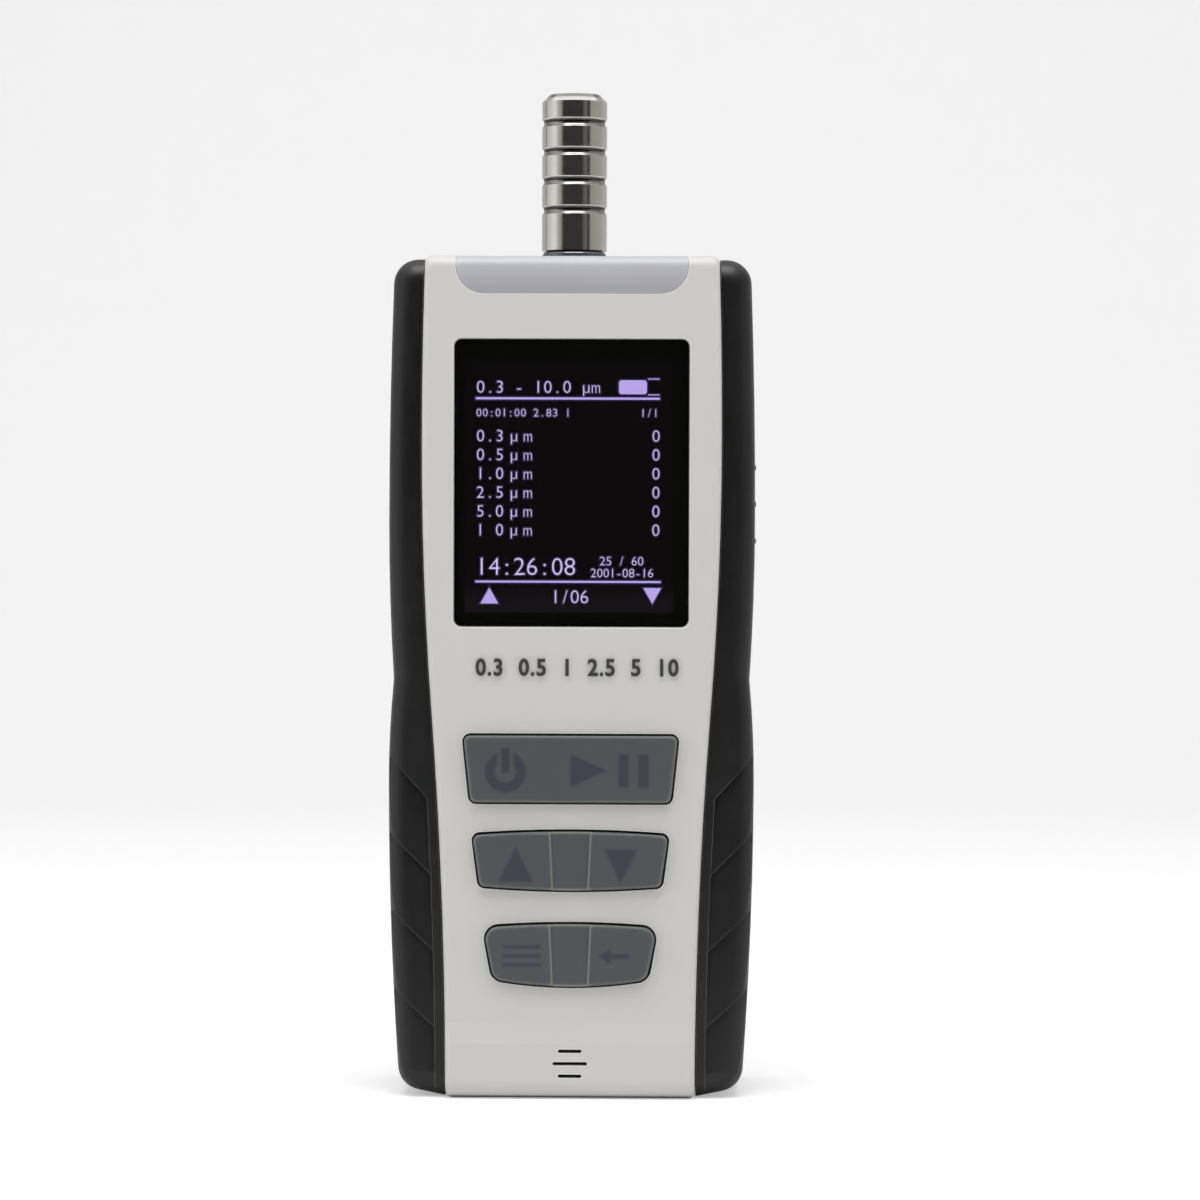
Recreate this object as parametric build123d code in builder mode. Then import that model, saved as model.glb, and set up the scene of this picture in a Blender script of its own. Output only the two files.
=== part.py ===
"""Handheld airborne particle counter: steel sampling inlet, moulded casing with ribbed
rubber grips, display, three keys, and the optical sensor, pump and battery inside.

Frame: millimetres, +Z up, front facing -Y, origin under the middle of the base.
"""
from build123d import *
from math import asin, cos, degrees, radians, sin, tan
import os

# ---------------------------------------------------------------- driving dimensions
# Casing
body_height = 191.3        # base to top face, without the inlet
overall_depth = 48.0       # key tops to back
front_wall = 2.4           # wall behind the front face
wall = 2.0                 # side, base and back walls
top_wall = 3.4             # wall under the inlet
rubber = 2.2               # grip thickness over the casing
shoulder_drop = 1.8        # how far the grips lie behind the front face
seam = 0.25                # groove between grip and panel
grip_drop = 0.6            # grip top below the casing top
parting_back = 10.0        # from the inlet's axis back to where front and rear shells meet
grip_lap = 4.0             # how far the grips lap over the rear shell
corner_round = 5.7         # casing corners, seen from the front
edge_round = 5.4           # long edges of the grips and the back
grip_round_share = 0.74    # most of a grip's width that its rounding may take
fit = 0.1                  # gap between pieces that seat in each other
past = 1.0                 # how far a cut runs past what it cuts
near = 0.01                # closeness of places taken as the same
# Side outline, half-widths and heights
top_half = 40.5
shoulder_half = 41.7
shoulder_z = 131.0
waist_half = 40.55
waist_z = 95.1
waist_round = 10.0
bulge_half = 41.65
bulge_z = 72.5
foot_half = 39.1
foot_rise = 2.2
# Front panel, half-widths and heights
grip_top_width = 7.2       # grip beside the panel at the top, the widest part and the base
grip_wide_width = 7.7
grip_base_width = 10.75
panel_wide_z = 149.5
panel_turn_z = 88.0
panel_round = 1.5
panel_top_round = 2.6
panel_base_round = 4.4
chin_rise = 0.6
chin_top_z = 17.4
chin_slope = 4.7
# Grip scales and ribs
scale_count = 4
scale_pitch = 17.4
scale_first_z = 79.2
scale_margin = 2.35        # plain strip beside the panel
scale_angle = 46.0         # slope of a scale's edge, degrees
scale_depth = 1.0
scale_span = 10.5          # width of a scale, seen from the front
scale_reach = 3.6          # how far a scale runs back round the edge
rib_count = 3
rib_pitch = 8.4
rib_middle_z = 135.2
rib_length = 15.0
rib_width = 2.4
rib_middle_y = -3.0
rib_rise = 0.35
rib_taper = 25.0
# Top insert
insert_margin = 7.05       # panel beside the insert
insert_drop = 8.5
insert_thick = 1.5
insert_corner = 6.4
insert_back = 8.9          # from the inlet's axis back to the insert's rear edge
# Display
lens_width = 52.9
lens_height = 64.8
lens_z = 139.9
lens_corner = 1.6
lens_thick = 1.5
lens_bevel = 0.35
view_width = 43.2
view_height = 57.6
window_width = 46.0
window_height = 60.4
gasket_thick = 0.6
lcd_width = 50.0
lcd_height = 68.0
lcd_thick = 2.2
lcd_sheet = 0.5
lcd_leg = 3.0              # legs of the display's frame on the main board
lcd_leg_in = 2.0
# Keys
key_rise = 1.6             # key tops above the front face
key_gap = 0.5
key_skirt = 0.5            # how far a key reaches past the inside of the front wall
key_round = 0.45
key_dish = 0.35            # sunken middle of the rocker keys
dish_half_top = 4.6
dish_half_base = 3.9
run_travel = 0.8
rocker_swing = 2.5         # degrees each way
run_top_z = 83.2
run_base_z = 67.1
run_half_top = 24.8
run_half_base = 23.1
arrow_top_z = 60.6
arrow_base_z = 48.1
arrow_half_top = 22.65
arrow_half_base = 21.0
arrow_crown = 0.9
menu_top_z = 39.6
menu_base_z = 27.0
menu_half_top = 20.2
menu_half_base = 17.9
menu_crown_top = 0.9
menu_crown_base = 1.6
key_corner = 1.9
menu_corner = 3.4
mat_thick = 1.2
key_flange = 0.8
key_tab = 1.0
tab_corner = 0.5
pivot_radius = 1.0
pivot_short = 1.0          # how far the pivot rib stays inside the key's ends
mat_corner = 3.0
dome_spread = 0.66
dome_radius = 4.2
dome_taper = 20.0
dome_clear = 0.2           # left above a dome when the run key is pressed
# Speaker
slot_height = 0.8
slot_pitch = 2.83
slot_middle_z = 8.27
slot_widths = (5.4, 7.9, 5.4)
speaker_width = 15.0
speaker_height = 9.4
speaker_thick = 3.0
speaker_corner = 3.0
# Boards and screws
board_gap = 5.4            # from the inside of the front wall to the main board
board_thick = 1.6
board_margin = 1.35        # main board inside the panel's base width
board_base_z = 4.5
board_top_z = 181.0
board_corner = 2.0
board_bite = 3.0           # thread of the main board's screws
boss_radius = 2.2
boss_floor = 1.0           # front wall left under a boss's hole
hole_spare = 1.0           # hole depth past a screw's tip
board_screw_radius = 1.0
board_screw_in = 2.5       # screw axis inside the main board's edge
boss_clear = 4.6           # from the display panel's end to the nearest board screws
boss_base = 13.5
board_screw_head_radius = 2.0
board_screw_head = 1.2
small_bite = 4.0           # thread of the small screws
chip_size = 12.0
chip_height = 1.6
chip_z = 88.0
chip_pitch = 19.2
screw_seat = 3.0           # plastic under the heads of the casing screws
post_radius = 3.4
post_gap = 1.3             # between the main board and the posts
screw_radius = 1.45
screw_head_radius = 2.8
screw_head = 2.0
screw_bite = 9.0           # thread in the front housing's posts
screw_upper_z = 177.5
screw_lower_z = 12.5
# Inlet
inlet_y = 0.0
inlet_radius = 7.5
inlet_top = 38.3           # top of the inlet above the casing
inlet_bevel = 1.75
inlet_groove_first = 6.6
inlet_groove_pitch = 6.7
inlet_groove_count = 4
inlet_groove_width = 1.7
inlet_groove_depth = 0.45
inlet_mouth = 4.6
inlet_mouth_depth = 9.2
inlet_bore = 2.0
stub_radius = 5.0
ring_thick = 2.3
nut_flat = 14.0
nut_height = 5.0
barb_radius = 2.4
barb_length = 8.0
barb_bore = 1.4
hose_wall = 1.1
hose_bend = 6.0
nipple_radius = 2.0
nipple_bore = 1.1
nipple_length = 4.2
inlet_groove_round = 0.22
# Optical sensor and pump
sensor_half = 19.0
sensor_depth = 18.0
sensor_base_z = 122.0
sensor_top_z = 150.0
ear_reach = 6.0
ear_thick = 3.0
sensor_ear_height = 12.0
pump_ear_height = 8.4
block_corner = 2.0
detector_width = 6.0
detector_height = 9.0
laser_radius = 4.5
laser_length = 16.0
laser_seat = 5.0
laser_bevel = 0.6
pump_half = 11.0
pump_depth = 18.0
pump_base_z = 97.0
pump_top_z = 112.5
motor_radius = 9.0
motor_length = 17.0
motor_round = 1.0
filter_radius = 6.6
filter_length = 20.0
filter_in = 13.15          # filter axis inside the casing's widest side
filter_bevel = 1.2
filter_gap = 0.3
filter_rest = 6.6          # square rest behind the filter
filter_rest_corner = 1.0
filter_top_z = 88.0
# Battery
battery_width = 38.5
battery_depth = 18.5
battery_height = 65.0
battery_base_z = 9.0
battery_corner = 2.0
battery_side_round = 8.25
door_thick = 1.8
door_margin = 3.0
door_flap = 8.5            # part of the door above the battery that takes its screws
door_screw_x = 14.0
door_bite = 6.0
door_corner = 3.0
door_groove_count = 5
door_groove_pitch = 2.4
door_groove = 1.0
door_groove_length = 23.0
bay_wall = 1.5
tongue_width = 24.0
tongue_reach = 1.6
tongue_thick = 0.7
# Rear fittings
tripod_z = 98.0
tripod_radius = 3.175
tripod_depth = 8.0
tripod_outer = 4.6
vent_count = 5
vent_width = 13.0
vent_slot = 1.1
vent_pitch = 2.6
vent_shift = 4.5           # vents towards the middle from the filter
vent_z = 97.0
usb_width = 8.4
usb_height = 3.0
usb_depth = 7.5
usb_shell = 0.4
usb_floor = 1.0
usb_tongue_width = 6.0
usb_tongue_thick = 0.75
usb_recess = 0.5

# ---------------------------------------------------------------- derived places
panel_top_half = top_half - grip_top_width
panel_wide_half = shoulder_half - grip_wide_width
panel_base_half = foot_half - grip_base_width
insert_half = panel_top_half - insert_margin
board_half = panel_base_half - board_margin
screw_x = board_half + post_gap + post_radius
filter_x = filter_in - bulge_half
vent_x = filter_x + vent_shift
parting_y = inlet_y + parting_back
grip_end_y = parting_y + grip_lap
insert_back_y = inlet_y + insert_back
face_y = key_rise - overall_depth / 2
back_y = overall_depth / 2
shoulder_y = face_y + shoulder_drop
core_y = shoulder_y + rubber
inside_y = face_y + front_wall
board_y = inside_y + board_gap
panel_turn_half = panel_base_half + (panel_wide_half - panel_base_half) * panel_turn_z / panel_wide_z
grip_top_z = body_height - grip_drop
grip_top_in = panel_top_half + seam
grip_base_in = panel_base_half + seam
narrowest_grip = min(top_half - grip_top_in, shoulder_half - panel_wide_half - seam)
grip_round = min(edge_round, grip_round_share * narrowest_grip)
scale_outer = bulge_half + past
insert_base_z = body_height - insert_drop
board_back_y = board_y + board_thick
mat_y = board_y - mat_thick
lcd_y = inside_y + gasket_thick
sensor_back_y = inlet_y + sensor_depth / 2
pump_back_y = inlet_y + pump_depth / 2
sensor_z = (sensor_base_z + sensor_top_z) / 2
detector_y = inlet_y - ear_thick / 2
pump_z = (pump_base_z + pump_top_z) / 2
lcd_frame_y = lcd_y + lcd_thick + lcd_sheet
key_front_y = face_y - key_rise
chin_y = face_y - chin_rise
key_back_y = inside_y + key_skirt
pivot_y = mat_y - fit - pivot_radius
run_back_y = inside_y + fit + key_flange
dome_top_y = run_back_y + run_travel + dome_clear
dome_places = [(0, (run_top_z + run_base_z) / 2)]
for side in (-1, 1):
    dome_places.append((side * dome_spread * arrow_half_base, (arrow_top_z + arrow_base_z) / 2))
    dome_places.append((side * dome_spread * menu_half_base, (menu_top_z + menu_base_z) / 2))
mat_half = run_half_base
mat_top_z = run_top_z
mat_base_z = menu_base_z - menu_crown_base
probe_base_z = body_height + ring_thick
probe_top_z = body_height + inlet_top
stub_base_z = body_height - top_wall - nut_height
nut_top_z = body_height - top_wall - fit
nut_base_z = stub_base_z - fit - wall
usb_base_z = usb_recess
bay_width = battery_width + 4 * fit
bay_height = battery_height + 4 * fit
battery_z = battery_base_z + battery_height / 2
battery_back_y = back_y - door_thick - 2 * fit
bay_front_y = battery_back_y - battery_depth - bay_wall - 2 * fit
door_base_z = battery_base_z - door_margin
door_top_z = battery_base_z + battery_height + door_flap
door_z = (door_base_z + door_top_z) / 2
door_height = door_top_z - door_base_z
door_width = battery_width + 2 * door_margin
tongue_y = back_y - door_thick + 2 * fit
door_groove_z = door_top_z - door_flap
door_screw_places = [(side * door_screw_x, door_top_z - door_flap / 2) for side in (-1, 1)]
sensor_screw_places = [(side * (sensor_half + ear_reach / 2), sensor_z) for side in (-1, 1)]
pump_screw_places = [(side * (pump_half + ear_reach / 2), pump_z) for side in (-1, 1)]
screw_seat_y = parting_y + screw_seat
screw_places = [(side * screw_x, z) for z in (screw_upper_z, screw_lower_z) for side in (-1, 1)]
board_screw_x = board_half - board_screw_in
board_screw_places = [(side * board_screw_x, z) for z in (lens_z + lcd_height / 2 + boss_clear,
                                                          lens_z - lcd_height / 2 - boss_clear,
                                                          board_base_z + boss_base)
                      for side in (-1, 1)]


def across(y):
    """Plane across the depth at y, facing the front, with x to the right and z up."""
    return Plane.XZ.offset(-y)


def panel_half(z):
    """Half-width of the front panel at height z."""
    if z > panel_turn_z:
        span = (panel_wide_z - panel_turn_z) if z < panel_wide_z else (body_height - panel_wide_z)
        drop = (panel_wide_half - panel_turn_half) if z < panel_wide_z else (panel_wide_half - panel_top_half)
        return panel_wide_half - drop * ((z - panel_wide_z) / span) ** 2
    return panel_base_half + (panel_turn_half - panel_base_half) * (z / panel_turn_z) ** 2


def side_half(z):
    """Half-width of the casing at height z, above the waist."""
    if z > shoulder_z:
        return shoulder_half - (shoulder_half - top_half) * ((z - shoulder_z) / (grip_top_z - shoulder_z)) ** 2
    return shoulder_half - (shoulder_half - waist_half) * ((shoulder_z - z) / (shoulder_z - waist_z)) ** 2


def panel_edge(grow, base, top):
    """Right-hand edge of the panel outline, moved out by grow."""
    turn = (panel_turn_half + grow, panel_turn_z)
    wide = (panel_wide_half + grow, panel_wide_z)
    TangentArc((panel_base_half + grow, base), turn, tangent=(0, 1))
    TangentArc(wide, turn, tangent=(0, -1))
    TangentArc(wide, (panel_top_half + grow, top), tangent=(0, 1))


def panel_face(grow=0.0, base=0.0, top=body_height):
    """Front view of the panel: a shield that narrows below the display."""
    with BuildLine() as outline:
        panel_edge(grow, base, top)
        Line((panel_top_half + grow, top), (0, top))
        Line((0, top), (0, base))
        Line((0, base), (panel_base_half + grow, base))
    make_face(outline.edges())
    mirror(about=Plane.YZ)


def side_edge(inset, base, top):
    """Right-hand side of the casing: two long swells that meet at the waist."""
    waist = (waist_half - inset, waist_z)
    shoulder = (shoulder_half - inset, shoulder_z)
    bulge = (bulge_half - inset, bulge_z)
    TangentArc(bulge, (foot_half - inset, base + foot_rise), tangent=(0, -1))
    TangentArc(bulge, waist, tangent=(0, 1))
    TangentArc(shoulder, waist, tangent=(0, -1))
    TangentArc(shoulder, (top_half - inset, top), tangent=(0, 1))


def is_front_side(edge):
    """True for the long front edges at the sides of the panel."""
    span = edge @ 1 - edge @ 0
    return edge.center().Y < face_y + fit and abs(span.Z) > 2 * abs(span.X)


def round_outline(sketch, inset):
    """Round the outer corners and the waist of a casing outline."""
    outer = sketch.vertices().filter_by(lambda v: abs(v.X) > panel_half(v.Y) + seam + near)
    corners = outer.filter_by(lambda v: v.Y > shoulder_z + near or v.Y < bulge_z - near)
    fillet(corners, corner_round - inset)
    waist = sketch.vertices().filter_by(lambda v: abs(v.Y - waist_z) < near)
    fillet(waist, waist_round)


def casing_face(sketch, inset=0.0, base=0.0, top=body_height):
    """Front view of the casing, drawn in at the sides by inset."""
    with BuildLine() as outline:
        side_edge(inset, base, top)
        Line((top_half - inset, top), (0, top))
        Line((0, top), (0, base))
        Line((0, base), (panel_base_half, base))
        Line((panel_base_half, base), (foot_half - inset, base + foot_rise))
    make_face(outline.edges())
    mirror(about=Plane.YZ)
    round_outline(sketch, inset)


def key_face(top, base, half_top, half_base, crown_top, crown_base, corner, inset=0.0):
    """Front view of a key: its sides close in downwards, and its ends may be crowned."""
    upper = [(half_top - inset, top - inset), (-half_top + inset, top - inset)]
    lower = [(-half_base + inset, base + inset), (half_base - inset, base + inset)]
    with BuildLine() as edge:
        if crown_top > 0:
            ThreePointArc(upper[0], (0, top + crown_top - inset), upper[1])
            ThreePointArc(lower[0], (0, base - crown_base + inset), lower[1])
        else:
            Line(upper[0], upper[1])
            Line(lower[0], lower[1])
        Line(upper[1], lower[0])
        Line(lower[1], upper[0])
    face = make_face(edge.edges())
    fillet(face.vertices(), corner - inset)


def finish(piece, name):
    """Label a finished piece and write it."""
    piece.part.label = name
    export_step(piece.part, f"parts/{name}.step")


os.makedirs("parts", exist_ok=True)
run_shape = (run_top_z, run_base_z, run_half_top, run_half_base, 0.0, 0.0, key_corner)
arrow_shape = (arrow_top_z, arrow_base_z, arrow_half_top, arrow_half_base, arrow_crown, arrow_crown,
               key_corner)
menu_shape = (menu_top_z, menu_base_z, menu_half_top, menu_half_base, menu_crown_top, menu_crown_base,
              menu_corner)

# ---------------------------------------------------------------- shared shapes
def tub_solid(rear_y, grow=0.0):
    """Full-width casing under the grips, from its rounded front shoulders back to rear_y."""
    with BuildPart(mode=Mode.PRIVATE) as piece:
        with BuildSketch(across(rear_y)) as tub:
            casing_face(tub, rubber - grow, rubber - grow, grip_top_z - rubber + grow)
        extrude(amount=rear_y - core_y + grow)
        fillet(piece.faces().sort_by(Axis.Y)[0].edges(), grip_round - rubber + grow)
    return piece.part


def insert_solid(grow=0.0):
    """Plate that laps over the top front edge, seen as an L from the side."""
    with BuildPart(mode=Mode.PRIVATE) as piece:
        with BuildSketch(Plane.YZ):
            with BuildLine() as profile:
                Polyline((face_y, insert_base_z - grow), (face_y, body_height),
                         (insert_back_y + grow, body_height),
                         (insert_back_y + grow, body_height - insert_thick - grow),
                         (face_y + insert_thick + grow, body_height - insert_thick - grow),
                         (face_y + insert_thick + grow, insert_base_z - grow), close=True)
            make_face(profile.edges())
        extrude(amount=insert_half + grow, both=True)
        top_edge = piece.edges().filter_by(Axis.X).sort_by(lambda e: e.center().Y - e.center().Z)[0]
        fillet(top_edge, panel_top_round)
        lower = piece.edges().filter_by(Axis.Y).group_by(Axis.Z)[0]
        fillet(lower, insert_corner)
    return piece.part


# ---------------------------------------------------------------- top insert
with BuildPart() as top_insert:
    add(insert_solid())
    with Locations(Plane.XY.offset(body_height) * Location((0, inlet_y, 0))):
        Hole(stub_radius + fit, depth=insert_thick)
finish(top_insert, "top_insert")

# ---------------------------------------------------------------- front housing
with BuildPart() as front_housing:
    # Raised front panel, run back to the parting line
    with BuildSketch(across(parting_y)):
        panel_face()
    extrude(amount=parting_y - face_y + chin_rise)
    # Front profile: rounded top and base, and the raised chin below its slope
    with BuildSketch(Plane.YZ):
        with BuildLine():
            Line((face_y, chin_top_z), (face_y, body_height - panel_top_round))
            TangentArc((face_y, body_height - panel_top_round), (face_y + panel_top_round, body_height),
                       tangent=(0, 1))
            Polyline((face_y + panel_top_round, body_height), (chin_y - past, body_height),
                     (chin_y - past, 0), (chin_y + panel_base_round, 0))
            TangentArc((chin_y + panel_base_round, 0), (chin_y, panel_base_round), tangent=(-1, 0))
            Polyline((chin_y, panel_base_round), (chin_y, chin_top_z - chin_slope), (face_y, chin_top_z))
        make_face()
    extrude(amount=shoulder_half, both=True, mode=Mode.SUBTRACT)
    fillet(front_housing.edges().filter_by(is_front_side), panel_round)
    # Full-width tub behind the panel, lined outside by the grips
    add(tub_solid(parting_y))
    # Hollow inside
    with BuildSketch(across(parting_y)):
        panel_face(-wall, wall, body_height - top_wall)
    extrude(amount=parting_y - inside_y, mode=Mode.SUBTRACT)
    with BuildSketch(across(parting_y)) as hollow:
        casing_face(hollow, rubber + wall, rubber + wall, grip_top_z - rubber - wall)
    extrude(amount=parting_y - core_y - wall, mode=Mode.SUBTRACT)
    # Seat of the top insert and the inlet's hole
    add(insert_solid(fit), mode=Mode.SUBTRACT)
    with Locations((0, inlet_y, body_height)):
        Hole(stub_radius + fit, depth=top_wall + past)
    # Lens recess with a bevelled lip, and the window behind it
    with BuildSketch(across(face_y + lens_thick)):
        with Locations((0, lens_z)):
            RectangleRounded(lens_width + 2 * fit, lens_height + 2 * fit, lens_corner + fit)
    extrude(amount=lens_thick + past, mode=Mode.SUBTRACT)
    lip = front_housing.edges().filter_by(
        lambda e: abs(e.center().Y - face_y) < near and abs(e.center().X) < lens_width / 2 + 2 * fit
        and abs(e.center().Z - lens_z) < lens_height / 2 + 2 * fit)
    chamfer(lip, lens_bevel)
    with BuildSketch(across(inside_y)):
        with Locations((0, lens_z)):
            RectangleRounded(window_width, window_height, lens_corner)
    extrude(amount=front_wall, mode=Mode.SUBTRACT)
    # Key openings
    with BuildSketch(across(inside_y)):
        key_face(*run_shape)
        key_face(*arrow_shape)
        key_face(*menu_shape)
    extrude(amount=front_wall + past, mode=Mode.SUBTRACT)
    # Sound slots in the chin
    with BuildSketch(across(inside_y)):
        for row, slot_width in enumerate(slot_widths):
            with Locations((0, slot_middle_z + (1 - row) * slot_pitch)):
                SlotOverall(slot_width, slot_height)
    extrude(amount=front_wall + past, mode=Mode.SUBTRACT)
    # Bosses for the main board
    with BuildSketch(across(board_y)):
        with Locations(*board_screw_places):
            Circle(boss_radius)
    extrude(amount=board_y - inside_y)
    with BuildSketch(across(board_y)):
        with Locations(*board_screw_places):
            Circle(board_screw_radius + fit / 2)
    extrude(amount=board_y - inside_y - boss_floor, mode=Mode.SUBTRACT)
    # Posts for the casing screws
    with BuildSketch(across(parting_y)):
        with Locations(*screw_places):
            Circle(post_radius)
    extrude(amount=parting_y - core_y - wall)
    with BuildSketch(across(parting_y)):
        with Locations(*screw_places):
            Circle(screw_radius + fit / 2)
    extrude(amount=screw_bite + hole_spare, mode=Mode.SUBTRACT)
    # Socket opening in the base
    with BuildSketch(Plane.XY):
        with Locations((0, board_back_y + usb_height / 2)):
            RectangleRounded(usb_width + 4 * fit, usb_height + 4 * fit, 4 * fit)
    extrude(amount=wall + past, mode=Mode.SUBTRACT)
finish(front_housing, "front_housing")

# ---------------------------------------------------------------- grips
with BuildPart() as grip_blank:
    with BuildSketch(across(grip_end_y)) as side:
        with BuildLine():
            side_edge(0, 0, grip_top_z)
            Line((top_half, grip_top_z), (grip_top_in, grip_top_z))
            panel_edge(seam, 0, grip_top_z)
            Line((grip_base_in, 0), (foot_half, foot_rise))
        make_face()
        round_outline(side, 0)
    extrude(amount=grip_end_y - shoulder_y)
    outer_edges = grip_blank.edges().filter_by(
        lambda e: e.center().Y < shoulder_y + near and e.center().X > panel_half(e.center().Z) + panel_round)
    fillet(outer_edges, grip_round)

# The floor of each scale is the grip's own skin, tipped in about the edge of the next scale
slope = tan(radians(scale_angle))
tip_angle = degrees(asin(scale_depth / (scale_pitch * cos(radians(scale_angle)))))
with BuildPart() as right_grip:
    add(grip_blank.part)
    add(tub_solid(grip_end_y, fit), mode=Mode.SUBTRACT)
    for index in range(scale_count):
        edge_z = scale_first_z - index * scale_pitch
        next_z = edge_z - scale_pitch
        drop = scale_span * slope
        with BuildPart(mode=Mode.PRIVATE) as scale_room:
            with BuildSketch(across(shoulder_y + scale_reach)):
                with BuildLine():
                    Polyline((scale_outer, edge_z), (panel_half(edge_z - drop) + scale_margin, edge_z - drop),
                             (panel_half(next_z - drop) + scale_margin, next_z - drop),
                             (scale_outer, next_z), close=True)
                make_face()
            extrude(amount=scale_reach + past)
            hinge = Axis((scale_outer, shoulder_y, next_z), (-1, 0, -slope))
            add(grip_blank.part.rotate(hinge, tip_angle), mode=Mode.SUBTRACT)
        add(scale_room.part, mode=Mode.SUBTRACT)
    for index in range(rib_count):
        rib_z = rib_middle_z + (index - (rib_count - 1) / 2) * rib_pitch
        rib_x = side_half(rib_z)
        with BuildSketch(Plane.YZ.offset(rib_x - rubber / 2)):
            with Locations((rib_middle_y, rib_z)):
                SlotOverall(rib_length, rib_width)
        extrude(amount=rubber / 2 + rib_rise, taper=rib_taper)
finish(right_grip, "right_grip")

with BuildPart() as left_grip:
    add(mirror(right_grip.part, about=Plane.YZ, mode=Mode.PRIVATE))
finish(left_grip, "left_grip")

# ---------------------------------------------------------------- rear housing
with BuildPart() as rear_housing:
    with BuildSketch(across(back_y)) as back:
        casing_face(back)
    extrude(amount=back_y - grip_end_y)
    fillet(rear_housing.faces().sort_by(Axis.Y)[-1].edges(), edge_round)
    with BuildSketch(across(grip_end_y)) as neck:
        casing_face(neck, rubber, rubber, grip_top_z - rubber)
        panel_face()
    extrude(amount=grip_end_y - parting_y)
    with BuildSketch(across(back_y - wall)) as hollow:
        casing_face(hollow, rubber + wall, rubber + wall, grip_top_z - rubber - wall)
    extrude(amount=back_y - wall - parting_y, mode=Mode.SUBTRACT)
    # Battery bay
    with BuildSketch(across(back_y - wall)):
        with Locations((0, battery_z)):
            RectangleRounded(bay_width + 2 * bay_wall, bay_height + 2 * bay_wall, 2 * bay_wall)
    extrude(amount=back_y - wall - bay_front_y)
    # Posts for the casing screws, the door screws, the sensor and the pump
    with BuildSketch(across(back_y - wall)):
        with Locations(*screw_places):
            Circle(post_radius)
    extrude(amount=back_y - wall - parting_y)
    with BuildSketch(across(back_y - wall)):
        with Locations(*door_screw_places):
            Circle(boss_radius)
    extrude(amount=door_bite)
    with BuildSketch(across(back_y - wall)):
        with Locations(*sensor_screw_places):
            Circle(boss_radius)
    extrude(amount=back_y - wall - sensor_back_y)
    with BuildSketch(across(back_y - wall)):
        with Locations(*pump_screw_places):
            Circle(boss_radius)
    extrude(amount=back_y - wall - pump_back_y)
    # Tripod boss and the rest for the exhaust filter
    with BuildSketch(across(back_y - wall)):
        with Locations((0, tripod_z)):
            Circle(tripod_outer + wall)
    extrude(amount=tripod_depth)
    with BuildSketch(across(back_y - wall)):
        with Locations((filter_x, filter_top_z - filter_length / 2)):
            RectangleRounded(filter_rest, filter_rest, filter_rest_corner)
    extrude(amount=back_y - wall - inlet_y - filter_radius - filter_gap)
    # Openings
    with BuildSketch(across(back_y)):
        with Locations((0, battery_z)):
            RectangleRounded(bay_width, bay_height, bay_wall)
    extrude(amount=back_y - bay_front_y - bay_wall, mode=Mode.SUBTRACT)
    with BuildSketch(across(back_y)):
        with Locations((0, door_z)):
            RectangleRounded(door_width + 2 * fit, door_height + 2 * fit, door_corner + fit)
    extrude(amount=door_thick, mode=Mode.SUBTRACT)
    with BuildSketch(across(tongue_y + tongue_thick + fit)):
        with Locations((0, door_base_z - tongue_reach / 2)):
            Rectangle(tongue_width + 2 * fit, tongue_reach + 4 * fit)
    extrude(amount=tongue_thick + 2 * fit, mode=Mode.SUBTRACT)
    with BuildSketch(across(back_y)):
        with Locations((0, tripod_z)):
            Circle(tripod_outer + fit / 2)
    extrude(amount=tripod_depth, mode=Mode.SUBTRACT)
    with BuildSketch(across(back_y)):
        for row in range(vent_count):
            with Locations((vent_x, vent_z + (row - (vent_count - 1) / 2) * vent_pitch)):
                SlotOverall(vent_width, vent_slot)
    extrude(amount=wall + past, mode=Mode.SUBTRACT)
    with BuildSketch(across(back_y)):
        with Locations(*screw_places):
            Circle(screw_head_radius + 2 * fit)
    extrude(amount=back_y - screw_seat_y, mode=Mode.SUBTRACT)
    with BuildSketch(across(back_y)):
        with Locations(*screw_places):
            Circle(screw_radius + fit)
    extrude(amount=back_y - parting_y, mode=Mode.SUBTRACT)
    with BuildSketch(across(back_y)):
        with Locations(*door_screw_places):
            Circle(board_screw_radius + fit / 2)
    extrude(amount=door_bite + past, mode=Mode.SUBTRACT)
    with BuildSketch(across(sensor_back_y + small_bite + hole_spare)):
        with Locations(*sensor_screw_places):
            Circle(board_screw_radius + fit / 2)
    extrude(amount=small_bite + hole_spare, mode=Mode.SUBTRACT)
    with BuildSketch(across(pump_back_y + small_bite + hole_spare)):
        with Locations(*pump_screw_places):
            Circle(board_screw_radius + fit / 2)
    extrude(amount=small_bite + hole_spare, mode=Mode.SUBTRACT)
finish(rear_housing, "rear_housing")

with BuildPart() as battery_door:
    with BuildSketch(across(back_y)):
        with Locations((0, door_z)):
            RectangleRounded(door_width, door_height, door_corner)
    extrude(amount=door_thick - fit)
    with BuildSketch(across(tongue_y + tongue_thick)):
        with Locations((0, door_base_z - tongue_reach / 2 + fit)):
            Rectangle(tongue_width, tongue_reach)
    extrude(amount=tongue_thick)
    with BuildSketch(across(back_y)):
        with Locations(*door_screw_places):
            Circle(board_screw_head_radius + 2 * fit)
    extrude(amount=board_screw_head, mode=Mode.SUBTRACT)
    with BuildSketch(across(back_y)):
        with Locations(*door_screw_places):
            Circle(board_screw_radius + fit)
    extrude(amount=door_thick, mode=Mode.SUBTRACT)
    # Finger ridges
    with BuildSketch(across(back_y)):
        for row in range(door_groove_count):
            with Locations((0, door_groove_z - row * door_groove_pitch)):
                SlotOverall(door_groove_length, door_groove)
    extrude(amount=door_groove / 2, mode=Mode.SUBTRACT)
finish(battery_door, "battery_door")

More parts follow.
